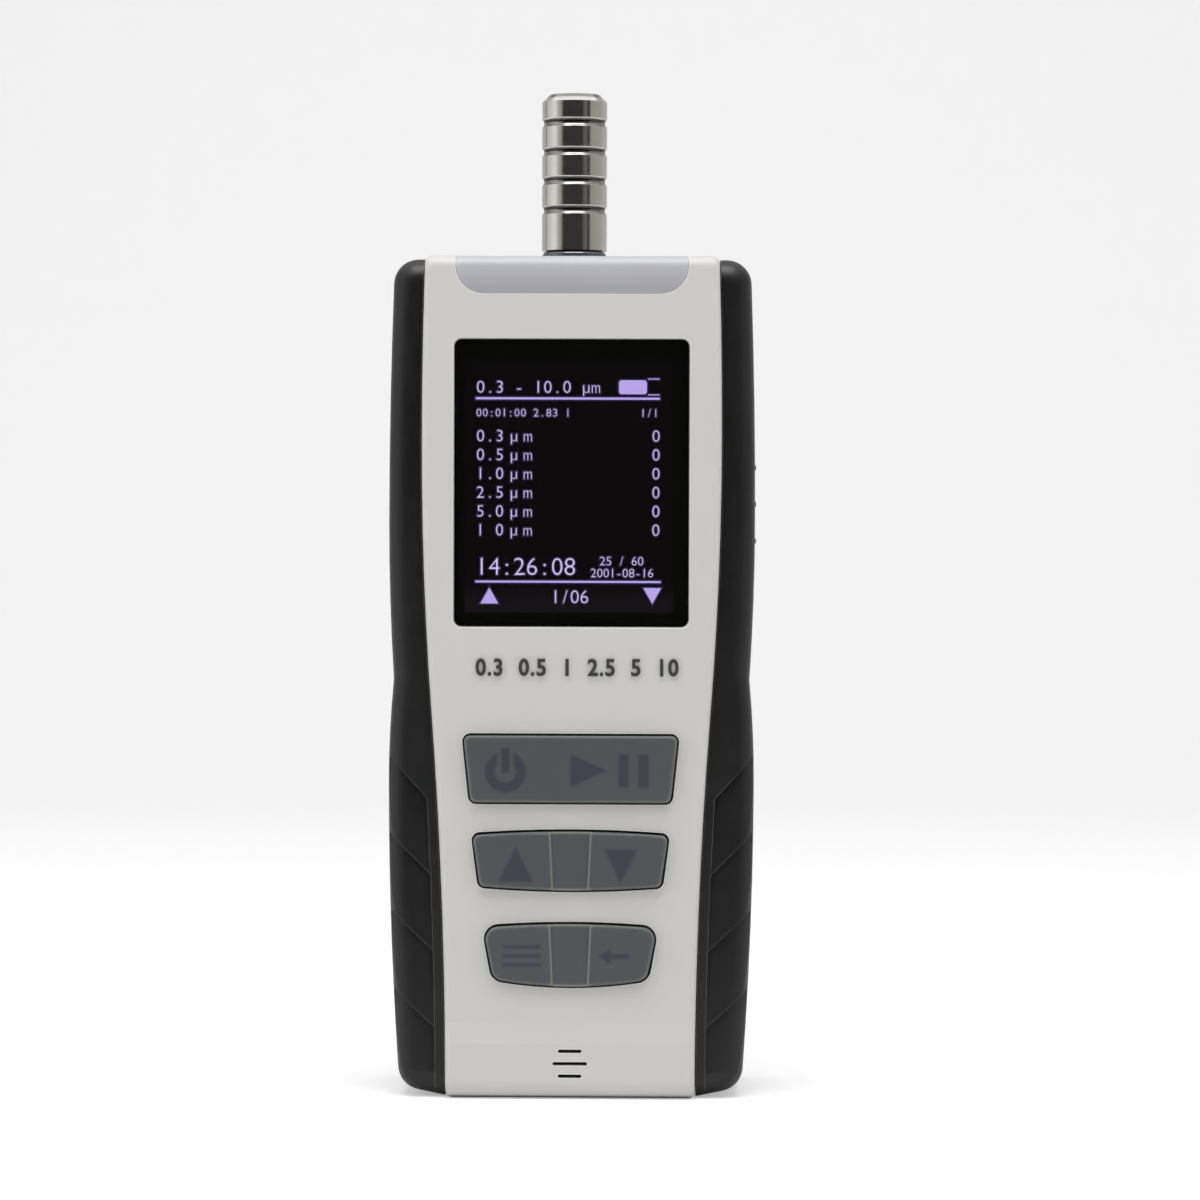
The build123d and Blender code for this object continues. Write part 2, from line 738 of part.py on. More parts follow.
with BuildPart() as battery_pack:
    with BuildSketch(across(battery_back_y)):
        with Locations((0, battery_z)):
            RectangleRounded(battery_width, battery_height, battery_corner)
    extrude(amount=battery_depth)
    fillet(battery_pack.edges().filter_by(Axis.Z), battery_side_round)
finish(battery_pack, "battery_pack")

with BuildPart() as tripod_insert:
    with BuildSketch(across(back_y)):
        with Locations((0, tripod_z)):
            Circle(tripod_outer)
            Circle(tripod_radius, mode=Mode.SUBTRACT)
    extrude(amount=tripod_depth - fit)
finish(tripod_insert, "tripod_insert")

# ---------------------------------------------------------------- display stack
with BuildPart() as display_lens:
    with BuildSketch(across(face_y + lens_thick)):
        with Locations((0, lens_z)):
            RectangleRounded(lens_width, lens_height, lens_corner)
    extrude(amount=lens_thick - fit)
finish(display_lens, "display_lens")

with BuildPart() as display_gasket:
    with BuildSketch(across(lcd_y)):
        with Locations((0, lens_z)):
            RectangleRounded(lcd_width, lens_height, lens_corner)
            Rectangle(view_width, view_height, mode=Mode.SUBTRACT)
    extrude(amount=gasket_thick)
finish(display_gasket, "display_gasket")

with BuildPart() as lcd_panel:
    with BuildSketch(across(lcd_y + lcd_thick)):
        with Locations((0, lens_z)):
            Rectangle(lcd_width, lcd_height)
    extrude(amount=lcd_thick)
finish(lcd_panel, "lcd_panel")

with BuildPart() as lcd_frame:
    with BuildSketch(across(lcd_frame_y)):
        with Locations((0, lens_z)):
            RectangleRounded(lcd_width + 2 * lcd_sheet + 2 * fit, lcd_height + 2 * lcd_sheet + 2 * fit,
                             lcd_sheet)
    extrude(amount=lcd_frame_y - lcd_y - lcd_sheet)
    with BuildSketch(across(lcd_y + lcd_thick)):
        with Locations((0, lens_z)):
            Rectangle(lcd_width + 2 * fit, lcd_height + 2 * fit)
    extrude(amount=lcd_thick, mode=Mode.SUBTRACT)
    with BuildSketch(across(board_y)):
        with Locations((0, lens_z)):
            with GridLocations(lcd_width - 2 * lcd_leg_in, lcd_height - 2 * lcd_leg_in, 2, 2):
                Rectangle(lcd_leg, lcd_leg)
    extrude(amount=board_y - lcd_frame_y)
finish(lcd_frame, "lcd_frame")

# ---------------------------------------------------------------- keys and keypad
with BuildPart() as run_key:
    with BuildSketch(across(key_back_y)):
        key_face(*run_shape, inset=key_gap)
    extrude(amount=key_back_y - key_front_y)
    fillet(run_key.faces().sort_by(Axis.Y)[0].edges(), key_round)
    with BuildSketch(across(run_back_y)):
        key_face(*run_shape, inset=-key_flange)
    extrude(amount=key_flange)
finish(run_key, "run_key")


def rocker_key(name, shape):
    """Key that rocks left and right on a rounded rib standing on the keypad."""
    top, base, half_top, half_base, crown_top, crown_base, corner = shape
    with BuildPart() as rocker:
        with BuildSketch(across(key_back_y)):
            key_face(*shape, inset=key_gap)
        extrude(amount=key_back_y - key_front_y)
        fillet(rocker.faces().sort_by(Axis.Y)[0].edges(), key_round)
        # Sunken middle between the two press points
        with BuildSketch(across(key_front_y + key_dish)) as dish:
            with BuildLine() as sides:
                Polyline((-dish_half_top, top + crown_top), (dish_half_top, top + crown_top),
                         (dish_half_base, base - crown_base), (-dish_half_base, base - crown_base), close=True)
            make_face(sides.edges())
        extrude(dish.sketch, amount=key_dish + past, mode=Mode.SUBTRACT)
        # Tabs behind the wall keep it in
        with BuildSketch(across(key_back_y + key_tab)) as tabs:
            with Locations((0, (top + crown_top + base - crown_base) / 2)):
                RectangleRounded(2 * dish_half_base, top + crown_top - base + crown_base + 2 * key_tab,
                                 tab_corner)
        extrude(tabs.sketch, amount=key_tab)
        # Rib that it rocks on
        with BuildSketch(Plane.XY.offset(base + pivot_short)) as rib:
            with Locations((0, pivot_y)):
                Circle(pivot_radius)
            with Locations((0, (key_back_y + pivot_y) / 2)):
                Rectangle(2 * pivot_radius, pivot_y - key_back_y)
        extrude(rib.sketch, amount=top - base - 2 * pivot_short)
    finish(rocker, name)
    return rocker


arrow_key = rocker_key("arrow_key", arrow_shape)
menu_key = rocker_key("menu_key", menu_shape)

with BuildPart() as keypad_mat:
    with BuildSketch(across(board_y)):
        with Locations((0, (mat_top_z + mat_base_z) / 2)):
            RectangleRounded(2 * mat_half, mat_top_z - mat_base_z, mat_corner)
    extrude(amount=mat_thick)
    for dome_x, dome_z in dome_places:
        with BuildSketch(across(mat_y)):
            with Locations((dome_x, dome_z)):
                Circle(dome_radius)
        extrude(amount=mat_y - dome_top_y, taper=dome_taper)
finish(keypad_mat, "keypad_mat")

# ---------------------------------------------------------------- main board and speaker
with BuildPart() as main_board:
    with BuildSketch(across(board_back_y)):
        with Locations((0, (board_top_z + board_base_z) / 2)):
            RectangleRounded(2 * board_half, board_top_z - board_base_z, board_corner)
        with Locations(*board_screw_places):
            Circle(board_screw_radius + fit, mode=Mode.SUBTRACT)
    extrude(amount=board_thick)
    with BuildSketch(across(board_back_y + chip_height)):
        with Locations((0, chip_z), (chip_size, chip_z + chip_pitch)):
            Rectangle(chip_size, chip_size)
    extrude(amount=chip_height)
finish(main_board, "main_board")

with BuildPart() as board_screws:
    with BuildSketch(across(board_back_y + board_screw_head)):
        with Locations(*board_screw_places):
            Circle(board_screw_head_radius)
    extrude(amount=board_screw_head)
    with BuildSketch(across(board_back_y)):
        with Locations(*board_screw_places):
            Circle(board_screw_radius)
    extrude(amount=board_thick + board_bite)
finish(board_screws, "board_screws")

with BuildPart() as speaker:
    with BuildSketch(across(inside_y + fit + speaker_thick)):
        with Locations((0, slot_middle_z)):
            RectangleRounded(speaker_width, speaker_height, speaker_corner)
    extrude(amount=speaker_thick)
finish(speaker, "speaker")

with BuildPart() as usb_port:
    with BuildSketch(Plane.XY.offset(usb_base_z)):
        with Locations((0, board_back_y + usb_height / 2)):
            RectangleRounded(usb_width, usb_height, 2 * fit)
    extrude(amount=usb_depth)
    with BuildSketch(Plane.XY.offset(usb_base_z)):
        with Locations((0, board_back_y + usb_height / 2)):
            Rectangle(usb_width - 2 * usb_shell, usb_height - 2 * usb_shell)
    extrude(amount=usb_depth - usb_floor, mode=Mode.SUBTRACT)
    with BuildSketch(Plane.XY.offset(usb_base_z)):
        with Locations((0, board_back_y + usb_height / 2)):
            Rectangle(usb_tongue_width, usb_tongue_thick)
    extrude(amount=usb_depth)
finish(usb_port, "usb_port")

# ---------------------------------------------------------------- inlet
inlet_axis = Axis((0, inlet_y, 0), (0, 0, 1))
with BuildPart() as inlet_probe:
    with BuildSketch(across(inlet_y)):
        with BuildLine():
            Polyline((inlet_bore, stub_base_z), (stub_radius, stub_base_z), (stub_radius, probe_base_z),
                     (inlet_radius, probe_base_z), (inlet_radius, probe_top_z - inlet_bevel),
                     (inlet_radius - inlet_bevel, probe_top_z), (inlet_mouth, probe_top_z),
                     (inlet_bore, probe_top_z - inlet_mouth_depth), close=True)
        make_face()
        for index in range(inlet_groove_count):
            with Locations((inlet_radius, probe_top_z - inlet_groove_first - index * inlet_groove_pitch)):
                Ellipse(inlet_groove_depth, inlet_groove_width / 2, mode=Mode.SUBTRACT)
    revolve(axis=inlet_axis)
    # Edges of the grooves, between the inlet's base and its bevel
    rims = inlet_probe.edges().filter_by(GeomType.CIRCLE).filter_by(lambda e: abs(e.radius - inlet_radius) < near)
    fillet(rims.filter_by(lambda e: probe_base_z + near < e.center().Z < probe_top_z - inlet_bevel - near),
           inlet_groove_round)
finish(inlet_probe, "inlet_probe")

with BuildPart() as inlet_o_ring:
    with BuildSketch(across(inlet_y)):
        with Locations((stub_radius + ring_thick / 2 + fit, body_height + ring_thick / 2)):
            Circle(ring_thick / 2 - fit / 2)
    revolve(axis=inlet_axis)
finish(inlet_o_ring, "inlet_o_ring")

with BuildPart() as inlet_fitting:
    with BuildSketch(Plane.XY.offset(nut_base_z)):
        with Locations((0, inlet_y)):
            RegularPolygon(nut_flat / 2, 6, major_radius=False)
    extrude(amount=nut_top_z - nut_base_z)
    with BuildSketch(Plane.XY.offset(stub_base_z - fit)):
        with Locations((0, inlet_y)):
            Circle(stub_radius + fit / 2)
    extrude(amount=nut_height + past, mode=Mode.SUBTRACT)
    with BuildSketch(Plane.XY.offset(nut_base_z)):
        with Locations((0, inlet_y)):
            Circle(barb_radius)
    extrude(amount=-barb_length)
    with BuildSketch(Plane.XY.offset(nut_base_z - barb_length)):
        with Locations((0, inlet_y)):
            Circle(barb_bore)
    extrude(amount=barb_length + nut_height, mode=Mode.SUBTRACT)
finish(inlet_fitting, "inlet_fitting")


def straight_hose(name, radius, low_z, high_z):
    """Short upright hose that slips over the two barbs in line with the inlet."""
    with BuildPart() as hose:
        with BuildSketch(Plane.XY.offset(low_z)) as ring:
            with Locations((0, inlet_y)):
                Circle(radius + fit / 2 + hose_wall)
                Circle(radius + fit / 2, mode=Mode.SUBTRACT)
        extrude(ring.sketch, amount=high_z - low_z)
    finish(hose, name)


straight_hose("sample_hose", barb_radius, sensor_top_z + fit, nut_base_z - fit)
straight_hose("pump_hose", nipple_radius, pump_top_z + fit, sensor_base_z - fit)

# ---------------------------------------------------------------- optical sensor
with BuildPart() as optical_block:
    with BuildSketch(Plane.XY.offset(sensor_base_z)):
        with Locations((0, inlet_y)):
            RectangleRounded(2 * sensor_half, sensor_depth, block_corner)
    extrude(amount=sensor_top_z - sensor_base_z)
    with BuildSketch(across(sensor_back_y)):
        with Locations((0, sensor_z)):
            RectangleRounded(2 * (sensor_half + ear_reach), sensor_ear_height, block_corner)
        with Locations(*sensor_screw_places):
            Circle(board_screw_radius + fit, mode=Mode.SUBTRACT)
    extrude(amount=ear_thick)
    with BuildSketch(Plane.XY.offset(sensor_top_z)):
        with Locations((0, inlet_y)):
            Circle(barb_radius)
    extrude(amount=barb_length)
    with BuildSketch(Plane.XY.offset(sensor_base_z)):
        with Locations((0, inlet_y)):
            Circle(nipple_radius)
    extrude(amount=-nipple_length)
    with BuildSketch(Plane.XY.offset(sensor_base_z - nipple_length)):
        with Locations((0, inlet_y)):
            Circle(nipple_bore)
    extrude(amount=sensor_top_z - sensor_base_z + barb_length + nipple_length, mode=Mode.SUBTRACT)
    with BuildSketch(Plane.YZ.offset(sensor_half - laser_seat)):
        with Locations((inlet_y, sensor_z)):
            Circle(laser_radius + fit / 2)
    extrude(amount=laser_seat + past, mode=Mode.SUBTRACT)
finish(optical_block, "optical_block")

with BuildPart() as laser_module:
    with BuildSketch(Plane.YZ.offset(sensor_half - laser_seat + fit)):
        with Locations((inlet_y, sensor_z)):
            Circle(laser_radius)
    extrude(amount=laser_length)
    chamfer(laser_module.faces().sort_by(Axis.X)[-1].edges(), laser_bevel)
finish(laser_module, "laser_module")

with BuildPart() as detector_board:
    with BuildSketch(Plane.YZ.offset(-sensor_half - fit)):
        with Locations((detector_y, sensor_z)):
            Rectangle(sensor_depth - 2 * ear_thick, sensor_top_z - sensor_base_z - ear_thick)
    extrude(amount=-board_thick)
    with BuildSketch(Plane.YZ.offset(-sensor_half - fit - board_thick)):
        with Locations((detector_y, sensor_z)):
            Rectangle(detector_width, detector_height)
    extrude(amount=-chip_height)
finish(detector_board, "detector_board")

# ---------------------------------------------------------------- pump and exhaust
with BuildPart() as pump_head:
    with BuildSketch(Plane.XY.offset(pump_base_z)):
        with Locations((0, inlet_y)):
            RectangleRounded(2 * pump_half, pump_depth, block_corner)
    extrude(amount=pump_top_z - pump_base_z)
    with BuildSketch(across(pump_back_y)):
        with Locations((0, pump_z)):
            RectangleRounded(2 * (pump_half + ear_reach), pump_ear_height, block_corner)
        with Locations(*pump_screw_places):
            Circle(board_screw_radius + fit, mode=Mode.SUBTRACT)
    extrude(amount=ear_thick)
    with BuildSketch(Plane.XY.offset(pump_top_z)):
        with Locations((0, inlet_y)):
            Circle(nipple_radius)
            Circle(nipple_bore, mode=Mode.SUBTRACT)
    extrude(amount=nipple_length)
    with BuildSketch(Plane.YZ.offset(-pump_half)):
        with Locations((inlet_y, pump_z)):
            Circle(nipple_radius)
            Circle(nipple_bore, mode=Mode.SUBTRACT)
    extrude(amount=-nipple_length)
finish(pump_head, "pump_head")

with BuildPart() as pump_motor:
    with BuildSketch(Plane.XY.offset(pump_base_z - fit)):
        with Locations((0, inlet_y)):
            Circle(motor_radius)
    extrude(amount=-motor_length)
    fillet(pump_motor.faces().sort_by(Axis.Z)[0].edges(), motor_round)
finish(pump_motor, "pump_motor")

with BuildPart() as exhaust_filter:
    with BuildSketch(Plane.XY.offset(filter_top_z - filter_length)):
        with Locations((filter_x, inlet_y)):
            Circle(filter_radius)
    extrude(amount=filter_length)
    chamfer(exhaust_filter.edges(), filter_bevel)
    with BuildSketch(Plane.XY.offset(filter_top_z)):
        with Locations((filter_x, inlet_y)):
            Circle(nipple_radius)
    extrude(amount=nipple_length)
    with BuildSketch(Plane.XY.offset(filter_top_z - filter_length)):
        with Locations((filter_x, inlet_y)):
            Circle(nipple_radius)
    extrude(amount=-nipple_length)
finish(exhaust_filter, "exhaust_filter")

with BuildPart() as exhaust_hose:
    with BuildLine() as route:
        FilletPolyline((-pump_half - fit, inlet_y, pump_z), (filter_x, inlet_y, pump_z),
                       (filter_x, inlet_y, filter_top_z + fit), radius=hose_bend)
    with BuildSketch(Plane(origin=route.line @ 0, z_dir=route.line % 0)):
        Circle(nipple_radius + fit / 2 + hose_wall)
        Circle(nipple_radius + fit / 2, mode=Mode.SUBTRACT)
    sweep(path=route.line)
finish(exhaust_hose, "exhaust_hose")

# ---------------------------------------------------------------- screws
with BuildPart() as housing_screws:
    with BuildSketch(across(screw_seat_y + screw_head)):
        with Locations(*screw_places):
            Circle(screw_head_radius)
    extrude(amount=screw_head)
    with BuildSketch(across(screw_seat_y)):
        with Locations(*screw_places):
            Circle(screw_radius)
    extrude(amount=screw_seat_y - parting_y + screw_bite)
finish(housing_screws, "housing_screws")

with BuildPart() as door_screws:
    with BuildSketch(across(back_y - fit)):
        with Locations(*door_screw_places):
            Circle(board_screw_head_radius)
    extrude(amount=board_screw_head - fit)
    with BuildSketch(across(back_y - board_screw_head)):
        with Locations(*door_screw_places):
            Circle(board_screw_radius)
    extrude(amount=door_thick - board_screw_head + small_bite)
finish(door_screws, "door_screws")

with BuildPart() as sensor_screws:
    for places, seat_y in ((sensor_screw_places, sensor_back_y), (pump_screw_places, pump_back_y)):
        with BuildSketch(across(seat_y - ear_thick)):
            with Locations(*places):
                Circle(board_screw_head_radius)
        extrude(amount=board_screw_head)
        with BuildSketch(across(seat_y + small_bite)):
            with Locations(*places):
                Circle(board_screw_radius)
        extrude(amount=small_bite + ear_thick)
finish(sensor_screws, "sensor_screws")
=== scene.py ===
from math import cos, pi, radians, sin

import bmesh
import bpy
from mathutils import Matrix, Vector


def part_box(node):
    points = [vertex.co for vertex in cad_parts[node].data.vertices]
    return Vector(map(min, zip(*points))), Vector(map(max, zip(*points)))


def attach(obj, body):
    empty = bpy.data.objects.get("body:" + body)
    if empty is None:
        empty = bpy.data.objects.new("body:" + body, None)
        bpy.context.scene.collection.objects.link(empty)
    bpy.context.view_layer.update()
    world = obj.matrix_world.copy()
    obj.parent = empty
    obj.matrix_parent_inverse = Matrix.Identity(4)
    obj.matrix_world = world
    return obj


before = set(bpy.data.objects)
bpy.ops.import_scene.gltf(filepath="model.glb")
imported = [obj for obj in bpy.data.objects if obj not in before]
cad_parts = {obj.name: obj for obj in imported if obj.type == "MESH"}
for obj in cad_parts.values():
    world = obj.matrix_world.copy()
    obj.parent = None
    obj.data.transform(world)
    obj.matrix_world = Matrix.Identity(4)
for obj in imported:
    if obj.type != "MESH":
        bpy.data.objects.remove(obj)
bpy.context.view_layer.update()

MM = 0.001
WHITE = (1, 1, 1, 1)

# Pixels of the photograph on the plane of the front panel
PIXEL = 0.2265 * MM
MIDDLE_X = 572.0
BASE_Y = 1100.0


def across(x):
    """Place to the right of the middle, in metres, of a pixel column."""
    return (x - MIDDLE_X) * PIXEL


def height(y):
    """Height above the base, in metres, of a pixel row."""
    return (BASE_Y - y) * PIXEL


def srgb(red, green, blue):
    """Linear colour from 0-255 screen values."""
    def linear(value):
        share = value / 255
        return share / 12.92 if share <= 0.04045 else ((share + 0.055) / 1.055) ** 2.4
    return (linear(red), linear(green), linear(blue), 1.0)


def scaled(colour, factor):
    """The colour made darker or lighter by a factor."""
    return tuple(channel * factor for channel in colour[:3]) + (1.0,)


# ---------------------------------------------------------------- wiring of nodes
# Colour sockets of a mix node, which has others for numbers and vectors
MIX_FIRST, MIX_SECOND, MIX_RESULT = 6, 7, 2
# Rays that the bevel and occlusion nodes send out at a point
RAY_SAMPLES = 8


class Nodes:
    """The node tree of a material or world, with short calls that add nodes and join them."""

    def __init__(self, owner):
        owner.use_nodes = True
        self.tree = owner.node_tree
        self.tree.nodes.clear()

    def join(self, value, socket):
        """Sets a socket to a number or colour, or links another socket to it."""
        if isinstance(value, bpy.types.NodeSocket):
            self.tree.links.new(value, socket)
        else:
            socket.default_value = value

    def add(self, kind, *values, **settings):
        """New node with its settings, and with its first sockets set or linked to values."""
        node = self.tree.nodes.new("ShaderNode" + kind)
        for name, setting in settings.items():
            setattr(node, name, setting)
        for value, socket in zip(values, node.inputs):
            self.join(value, socket)
        return node

    def math(self, operation, *values):
        """Result of one operation on numbers or sockets."""
        return self.add("Math", *values, operation=operation).outputs[0]

    def step(self, value, low, high, to_low=0.0, to_high=1.0):
        """Soft step of value between low and high."""
        node = self.add("MapRange", value, low, high, to_low, to_high, interpolation_type="SMOOTHSTEP")
        return node.outputs[0]

    def choose(self, switch, first, second):
        """The first shader where switch is 0, and the second where it is 1."""
        return self.add("MixShader", switch, first, second).outputs[0]

    def axes(self, coordinates="Object"):
        """x, y and z of the texture coordinates."""
        return self.add("SeparateXYZ", self.add("TexCoord").outputs[coordinates]).outputs


class Wiring(Nodes):
    """One material round a principled shader."""

    def __init__(self, name):
        self.material = bpy.data.materials.new(name)
        super().__init__(self.material)
        self.shader = self.add("BsdfPrincipled")
        self.add("OutputMaterial", self.shader.outputs[0])
        self.place = self.add("TexCoord").outputs["Object"]

    def set(self, **values):
        """Sets the shader's own sockets, with _ for a space in their names."""
        for name, value in values.items():
            self.join(value, self.shader.inputs[name.replace("_", " ")])

    def blend(self, share, first, second):
        """Mix of two colours."""
        node = self.add("Mix", share, data_type="RGBA")
        self.join(first, node.inputs[MIX_FIRST])
        self.join(second, node.inputs[MIX_SECOND])
        return node.outputs[MIX_RESULT]

    def noise(self, grain, detail=3.0, stretch=(1, 1, 1)):
        """Noise whose grain is a size in metres, with a scale for each axis."""
        mapping = self.add("Mapping", self.place)
        mapping.inputs["Scale"].default_value = stretch
        node = self.add("TexNoise", mapping.outputs[0])
        node.inputs["Scale"].default_value = 1 / grain
        node.inputs["Detail"].default_value = detail
        return node.outputs["Fac"]

    def varied(self, colour, amount, grain):
        """A colour that drifts a little darker and lighter over the surface."""
        return self.blend(self.noise(grain, 4.0), scaled(colour, 1 - amount), scaled(colour, 1 + amount))

    def patchy(self, low, high, grain, detail=3.0):
        """A number that drifts between low and high over the surface."""
        return self.step(self.noise(grain, detail), 0.3, 0.7, low, high)

    def bump(self, relief, depth):
        """Normal with a relief, whose full depth is in metres."""
        node = self.add("Bump")
        node.inputs["Strength"].default_value = 1.0
        node.inputs["Distance"].default_value = depth
        self.join(relief, node.inputs["Height"])
        return node.outputs[0]

    def spark_texture(self):
        """Normal with the fine texture of a spark-eroded mould."""
        return self.bump(self.noise(0.35 * MM), 0.004 * MM)

    def edges(self, radius):
        """1 at the piece's edges, fading to 0 on its faces within about a radius."""
        rounded_normal = self.add("Bevel", radius, samples=RAY_SAMPLES).outputs[0]
        normal = self.add("NewGeometry").outputs["Normal"]
        agree = self.add("VectorMath", rounded_normal, normal, operation="DOT_PRODUCT")
        return self.step(agree.outputs["Value"], 0.86, 0.995, 1.0, 0.0)

    def openness(self, distance, inside=False):
        """1 where no surface lies within a distance, in front of the face or inside the piece."""
        node = self.add("AmbientOcclusion", samples=RAY_SAMPLES, inside=inside)
        node.inputs["Distance"].default_value = distance
        return node.outputs["AO"]

    def crevices(self, distance, deepest=0.6, open_air=0.98):
        """1 in corners that nearby surfaces shade, within a distance, and 0 on open faces."""
        return self.step(self.openness(distance), deepest, open_air, 1.0, 0.0)

    def rim(self, distance):
        """1 where the piece is thin or ends in an outer edge, fading to 0 within a distance."""
        return self.step(self.openness(distance, inside=True), 0.60, 0.92, 1.0, 0.0)


# ---------------------------------------------------------------- materials
PLASTIC_IOR = 1.49
KEY_IOR = 1.45
# High, so that the small seal mirrors as strongly as the greased ring in the photograph
SEAL_IOR = 2.6
BRASS = (0.62, 0.45, 0.19, 1)

# Grooves turned in the inlet, from its top
GROOVE_FIRST = 6.6 * MM
GROOVE_PITCH = 6.7 * MM
GROOVE_COUNT = 4
# Painted shade in a groove: a dark core, and under it a weaker band that dims the lower lip's reflection.
# Each pair is where one of them sets in or ends, as distances below the groove's middle
CORE_START = (-0.85 * MM, -0.60 * MM)
CORE_END = (-0.05 * MM, 0.20 * MM)
LOWER_SHADE_END = (0.85 * MM, 1.05 * MM)
LOWER_SHADE_SHARE = 0.62


def moulded_plastic(name, colour, roughness):
    """Moulded plastic with a fine spark texture."""
    w = Wiring(name)
    w.set(Base_Color=w.varied(colour, 0.04, 18 * MM), IOR=PLASTIC_IOR,
          Roughness=w.patchy(roughness - 0.04, roughness + 0.04, 6 * MM), Normal=w.spark_texture())
    return w.material


def housing_plastic():
    """Pale grey housing, with a painted highlight along its edges and painted shade in its seams."""
    w = Wiring("shell_plastic")
    body = w.varied(srgb(210, 209, 205), 0.012, 18 * MM)
    # Painted highlight: the edges lightened towards near white, where light catches them
    painted_edge_highlight = w.math("MULTIPLY", w.edges(0.5 * MM), 0.85)
    clean = w.blend(painted_edge_highlight, body, srgb(250, 250, 248))
    # Painted shade: seams and corners darkened where nearby surfaces shade them
    painted_seam_shade = w.math("MULTIPLY", w.crevices(1.2 * MM, 0.25, 0.62), 0.85)
    w.set(Base_Color=w.blend(painted_seam_shade, clean, srgb(92, 90, 86)), IOR=PLASTIC_IOR,
          Roughness=w.patchy(0.38, 0.46, 6 * MM), Normal=w.spark_texture())
    return w.material


def rubber_grip():
    """Soft black rubber: a fine matt grain, painted shade in its crevices, and a grey painted highlight
    along the edges of its scales.
    """
    w = Wiring("grip_rubber")
    fresh, handled = (0.0060, 0.0064, 0.0065, 1), (0.0085, 0.0090, 0.0090, 1)
    # Near black of the painted shade in crevices, and grey of the painted highlight on the scales' edges
    shaded, highlight_grey = (0.0015, 0.0015, 0.0015, 1), (0.095, 0.097, 0.096, 1)
    open_face = w.blend(w.step(w.noise(30 * MM), 0.35, 0.7), fresh, handled)
    # Painted shade where nearby surfaces shade the rubber
    body = w.blend(w.crevices(7 * MM), open_face, shaded)
    # Painted highlight along the scales' edges, patchy along them
    painted_scale_highlight = w.math("MULTIPLY", w.edges(0.35 * MM), w.step(w.noise(5 * MM), 0.3, 0.6, 0.65, 1.0))
    w.set(Base_Color=w.blend(painted_scale_highlight, body, highlight_grey), Roughness=w.patchy(0.34, 0.41, 4 * MM, 4.0),
          Normal=w.bump(w.noise(0.3 * MM, 4.0), 0.006 * MM), Sheen_Weight=0.10, Sheen_Roughness=0.35)
    return w.material


def turned_steel(name, colour, roughness):
    """Turned and polished steel: fine rings left by the tool, and painted shade in the four grooves."""
    w = Wiring(name)
    rings = w.noise(0.16 * MM, 2.0, stretch=(0.02, 0.02, 1))
    streaks = w.noise(1.2 * MM, 3.0, stretch=(0.05, 0.05, 1))
    first_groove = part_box("inlet_probe")[1].z - GROOVE_FIRST
    groove = w.math("MULTIPLY_ADD", w.axes()["Z"], -1 / GROOVE_PITCH, first_groove / GROOVE_PITCH)
    below = w.math("MULTIPLY", w.math("SUBTRACT", groove, w.math("ROUND", groove)), GROOVE_PITCH)
    # Painted shade in each groove: a dark core, and under it a weaker band over the lower lip
    core = w.math("MULTIPLY", w.step(below, *CORE_START), w.step(below, *CORE_END, 1.0, 0.0))
    lower_shade = w.math("MULTIPLY", w.step(below, *CORE_END, 0.0, LOWER_SHADE_SHARE), w.step(below, *LOWER_SHADE_END, 1.0, 0.0))
    above_last = w.math("LESS_THAN", groove, GROOVE_COUNT - 0.5)
    painted_groove_shade = w.math("MULTIPLY", w.math("MAXIMUM", core, lower_shade), above_last)
    steel = w.varied(colour, 0.05, 4 * MM)
    # Near-black colour of the painted groove shade
    w.set(Base_Color=w.blend(w.math("MULTIPLY", painted_groove_shade, 0.93), steel, (0.03, 0.03, 0.028, 1)),
          Metallic=1.0, Anisotropic=0.4, Normal=w.bump(rings, 0.0012 * MM),
          Roughness=w.step(streaks, 0.3, 0.7, roughness - 0.03, roughness + 0.04))
    return w.material


def cast_metal(name, colour, roughness):
    """Metal with an even dull finish."""
    w = Wiring(name)
    w.set(Base_Color=w.varied(colour, 0.06, 3 * MM), Metallic=1.0,
          Roughness=w.patchy(roughness - 0.05, roughness + 0.07, 2 * MM, 4.0),
          Normal=w.bump(w.noise(0.6 * MM, 4.0), 0.008 * MM))
    return w.material


def soft_rubber(name, colour, roughness):
    """Plain rubber, silicone or foam of the seals and hoses."""
    w = Wiring(name)
    w.set(Base_Color=w.varied(colour, 0.08, 4 * MM), Roughness=roughness,
          Normal=w.bump(w.noise(0.4 * MM), 0.008 * MM))
    return w.material


def insert_plastic():
    """Lavender-grey plate of the inlet, with a painted highlight towards its top and along its edges."""
    w = Wiring("insert_plastic")
    lowest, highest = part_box("top_insert")
    # Painted highlight: paler towards the top, where the top light falls
    up = w.step(w.axes()["Z"], lowest.z, highest.z - 1.5 * MM)
    grey = w.blend(up, srgb(166, 166, 173), srgb(190, 190, 197))
    drift = w.step(w.noise(12 * MM, 4.0), 0.2, 0.8, 0.0, 0.06)
    body = w.blend(drift, grey, srgb(150, 150, 156))
    # Painted highlight along the plate's edges
    painted_edge_highlight = w.math("MULTIPLY", w.edges(0.35 * MM), 0.6)
    w.set(Base_Color=w.blend(painted_edge_highlight, body, srgb(222, 222, 226)), IOR=PLASTIC_IOR,
          Roughness=w.patchy(0.28, 0.36, 5 * MM), Normal=w.spark_texture())
    return w.material


def glossy_rubber(name, colour):
    """Greased nitrile rubber of the inlet's seal, which mirrors what stands round it."""
    w = Wiring(name)
    w.set(Base_Color=w.varied(colour, 0.1, 2 * MM), IOR=SEAL_IOR,
          Roughness=w.patchy(0.10, 0.16, 2 * MM, 2.0), Normal=w.bump(w.noise(0.6 * MM, 2.0), 0.004 * MM))
    return w.material


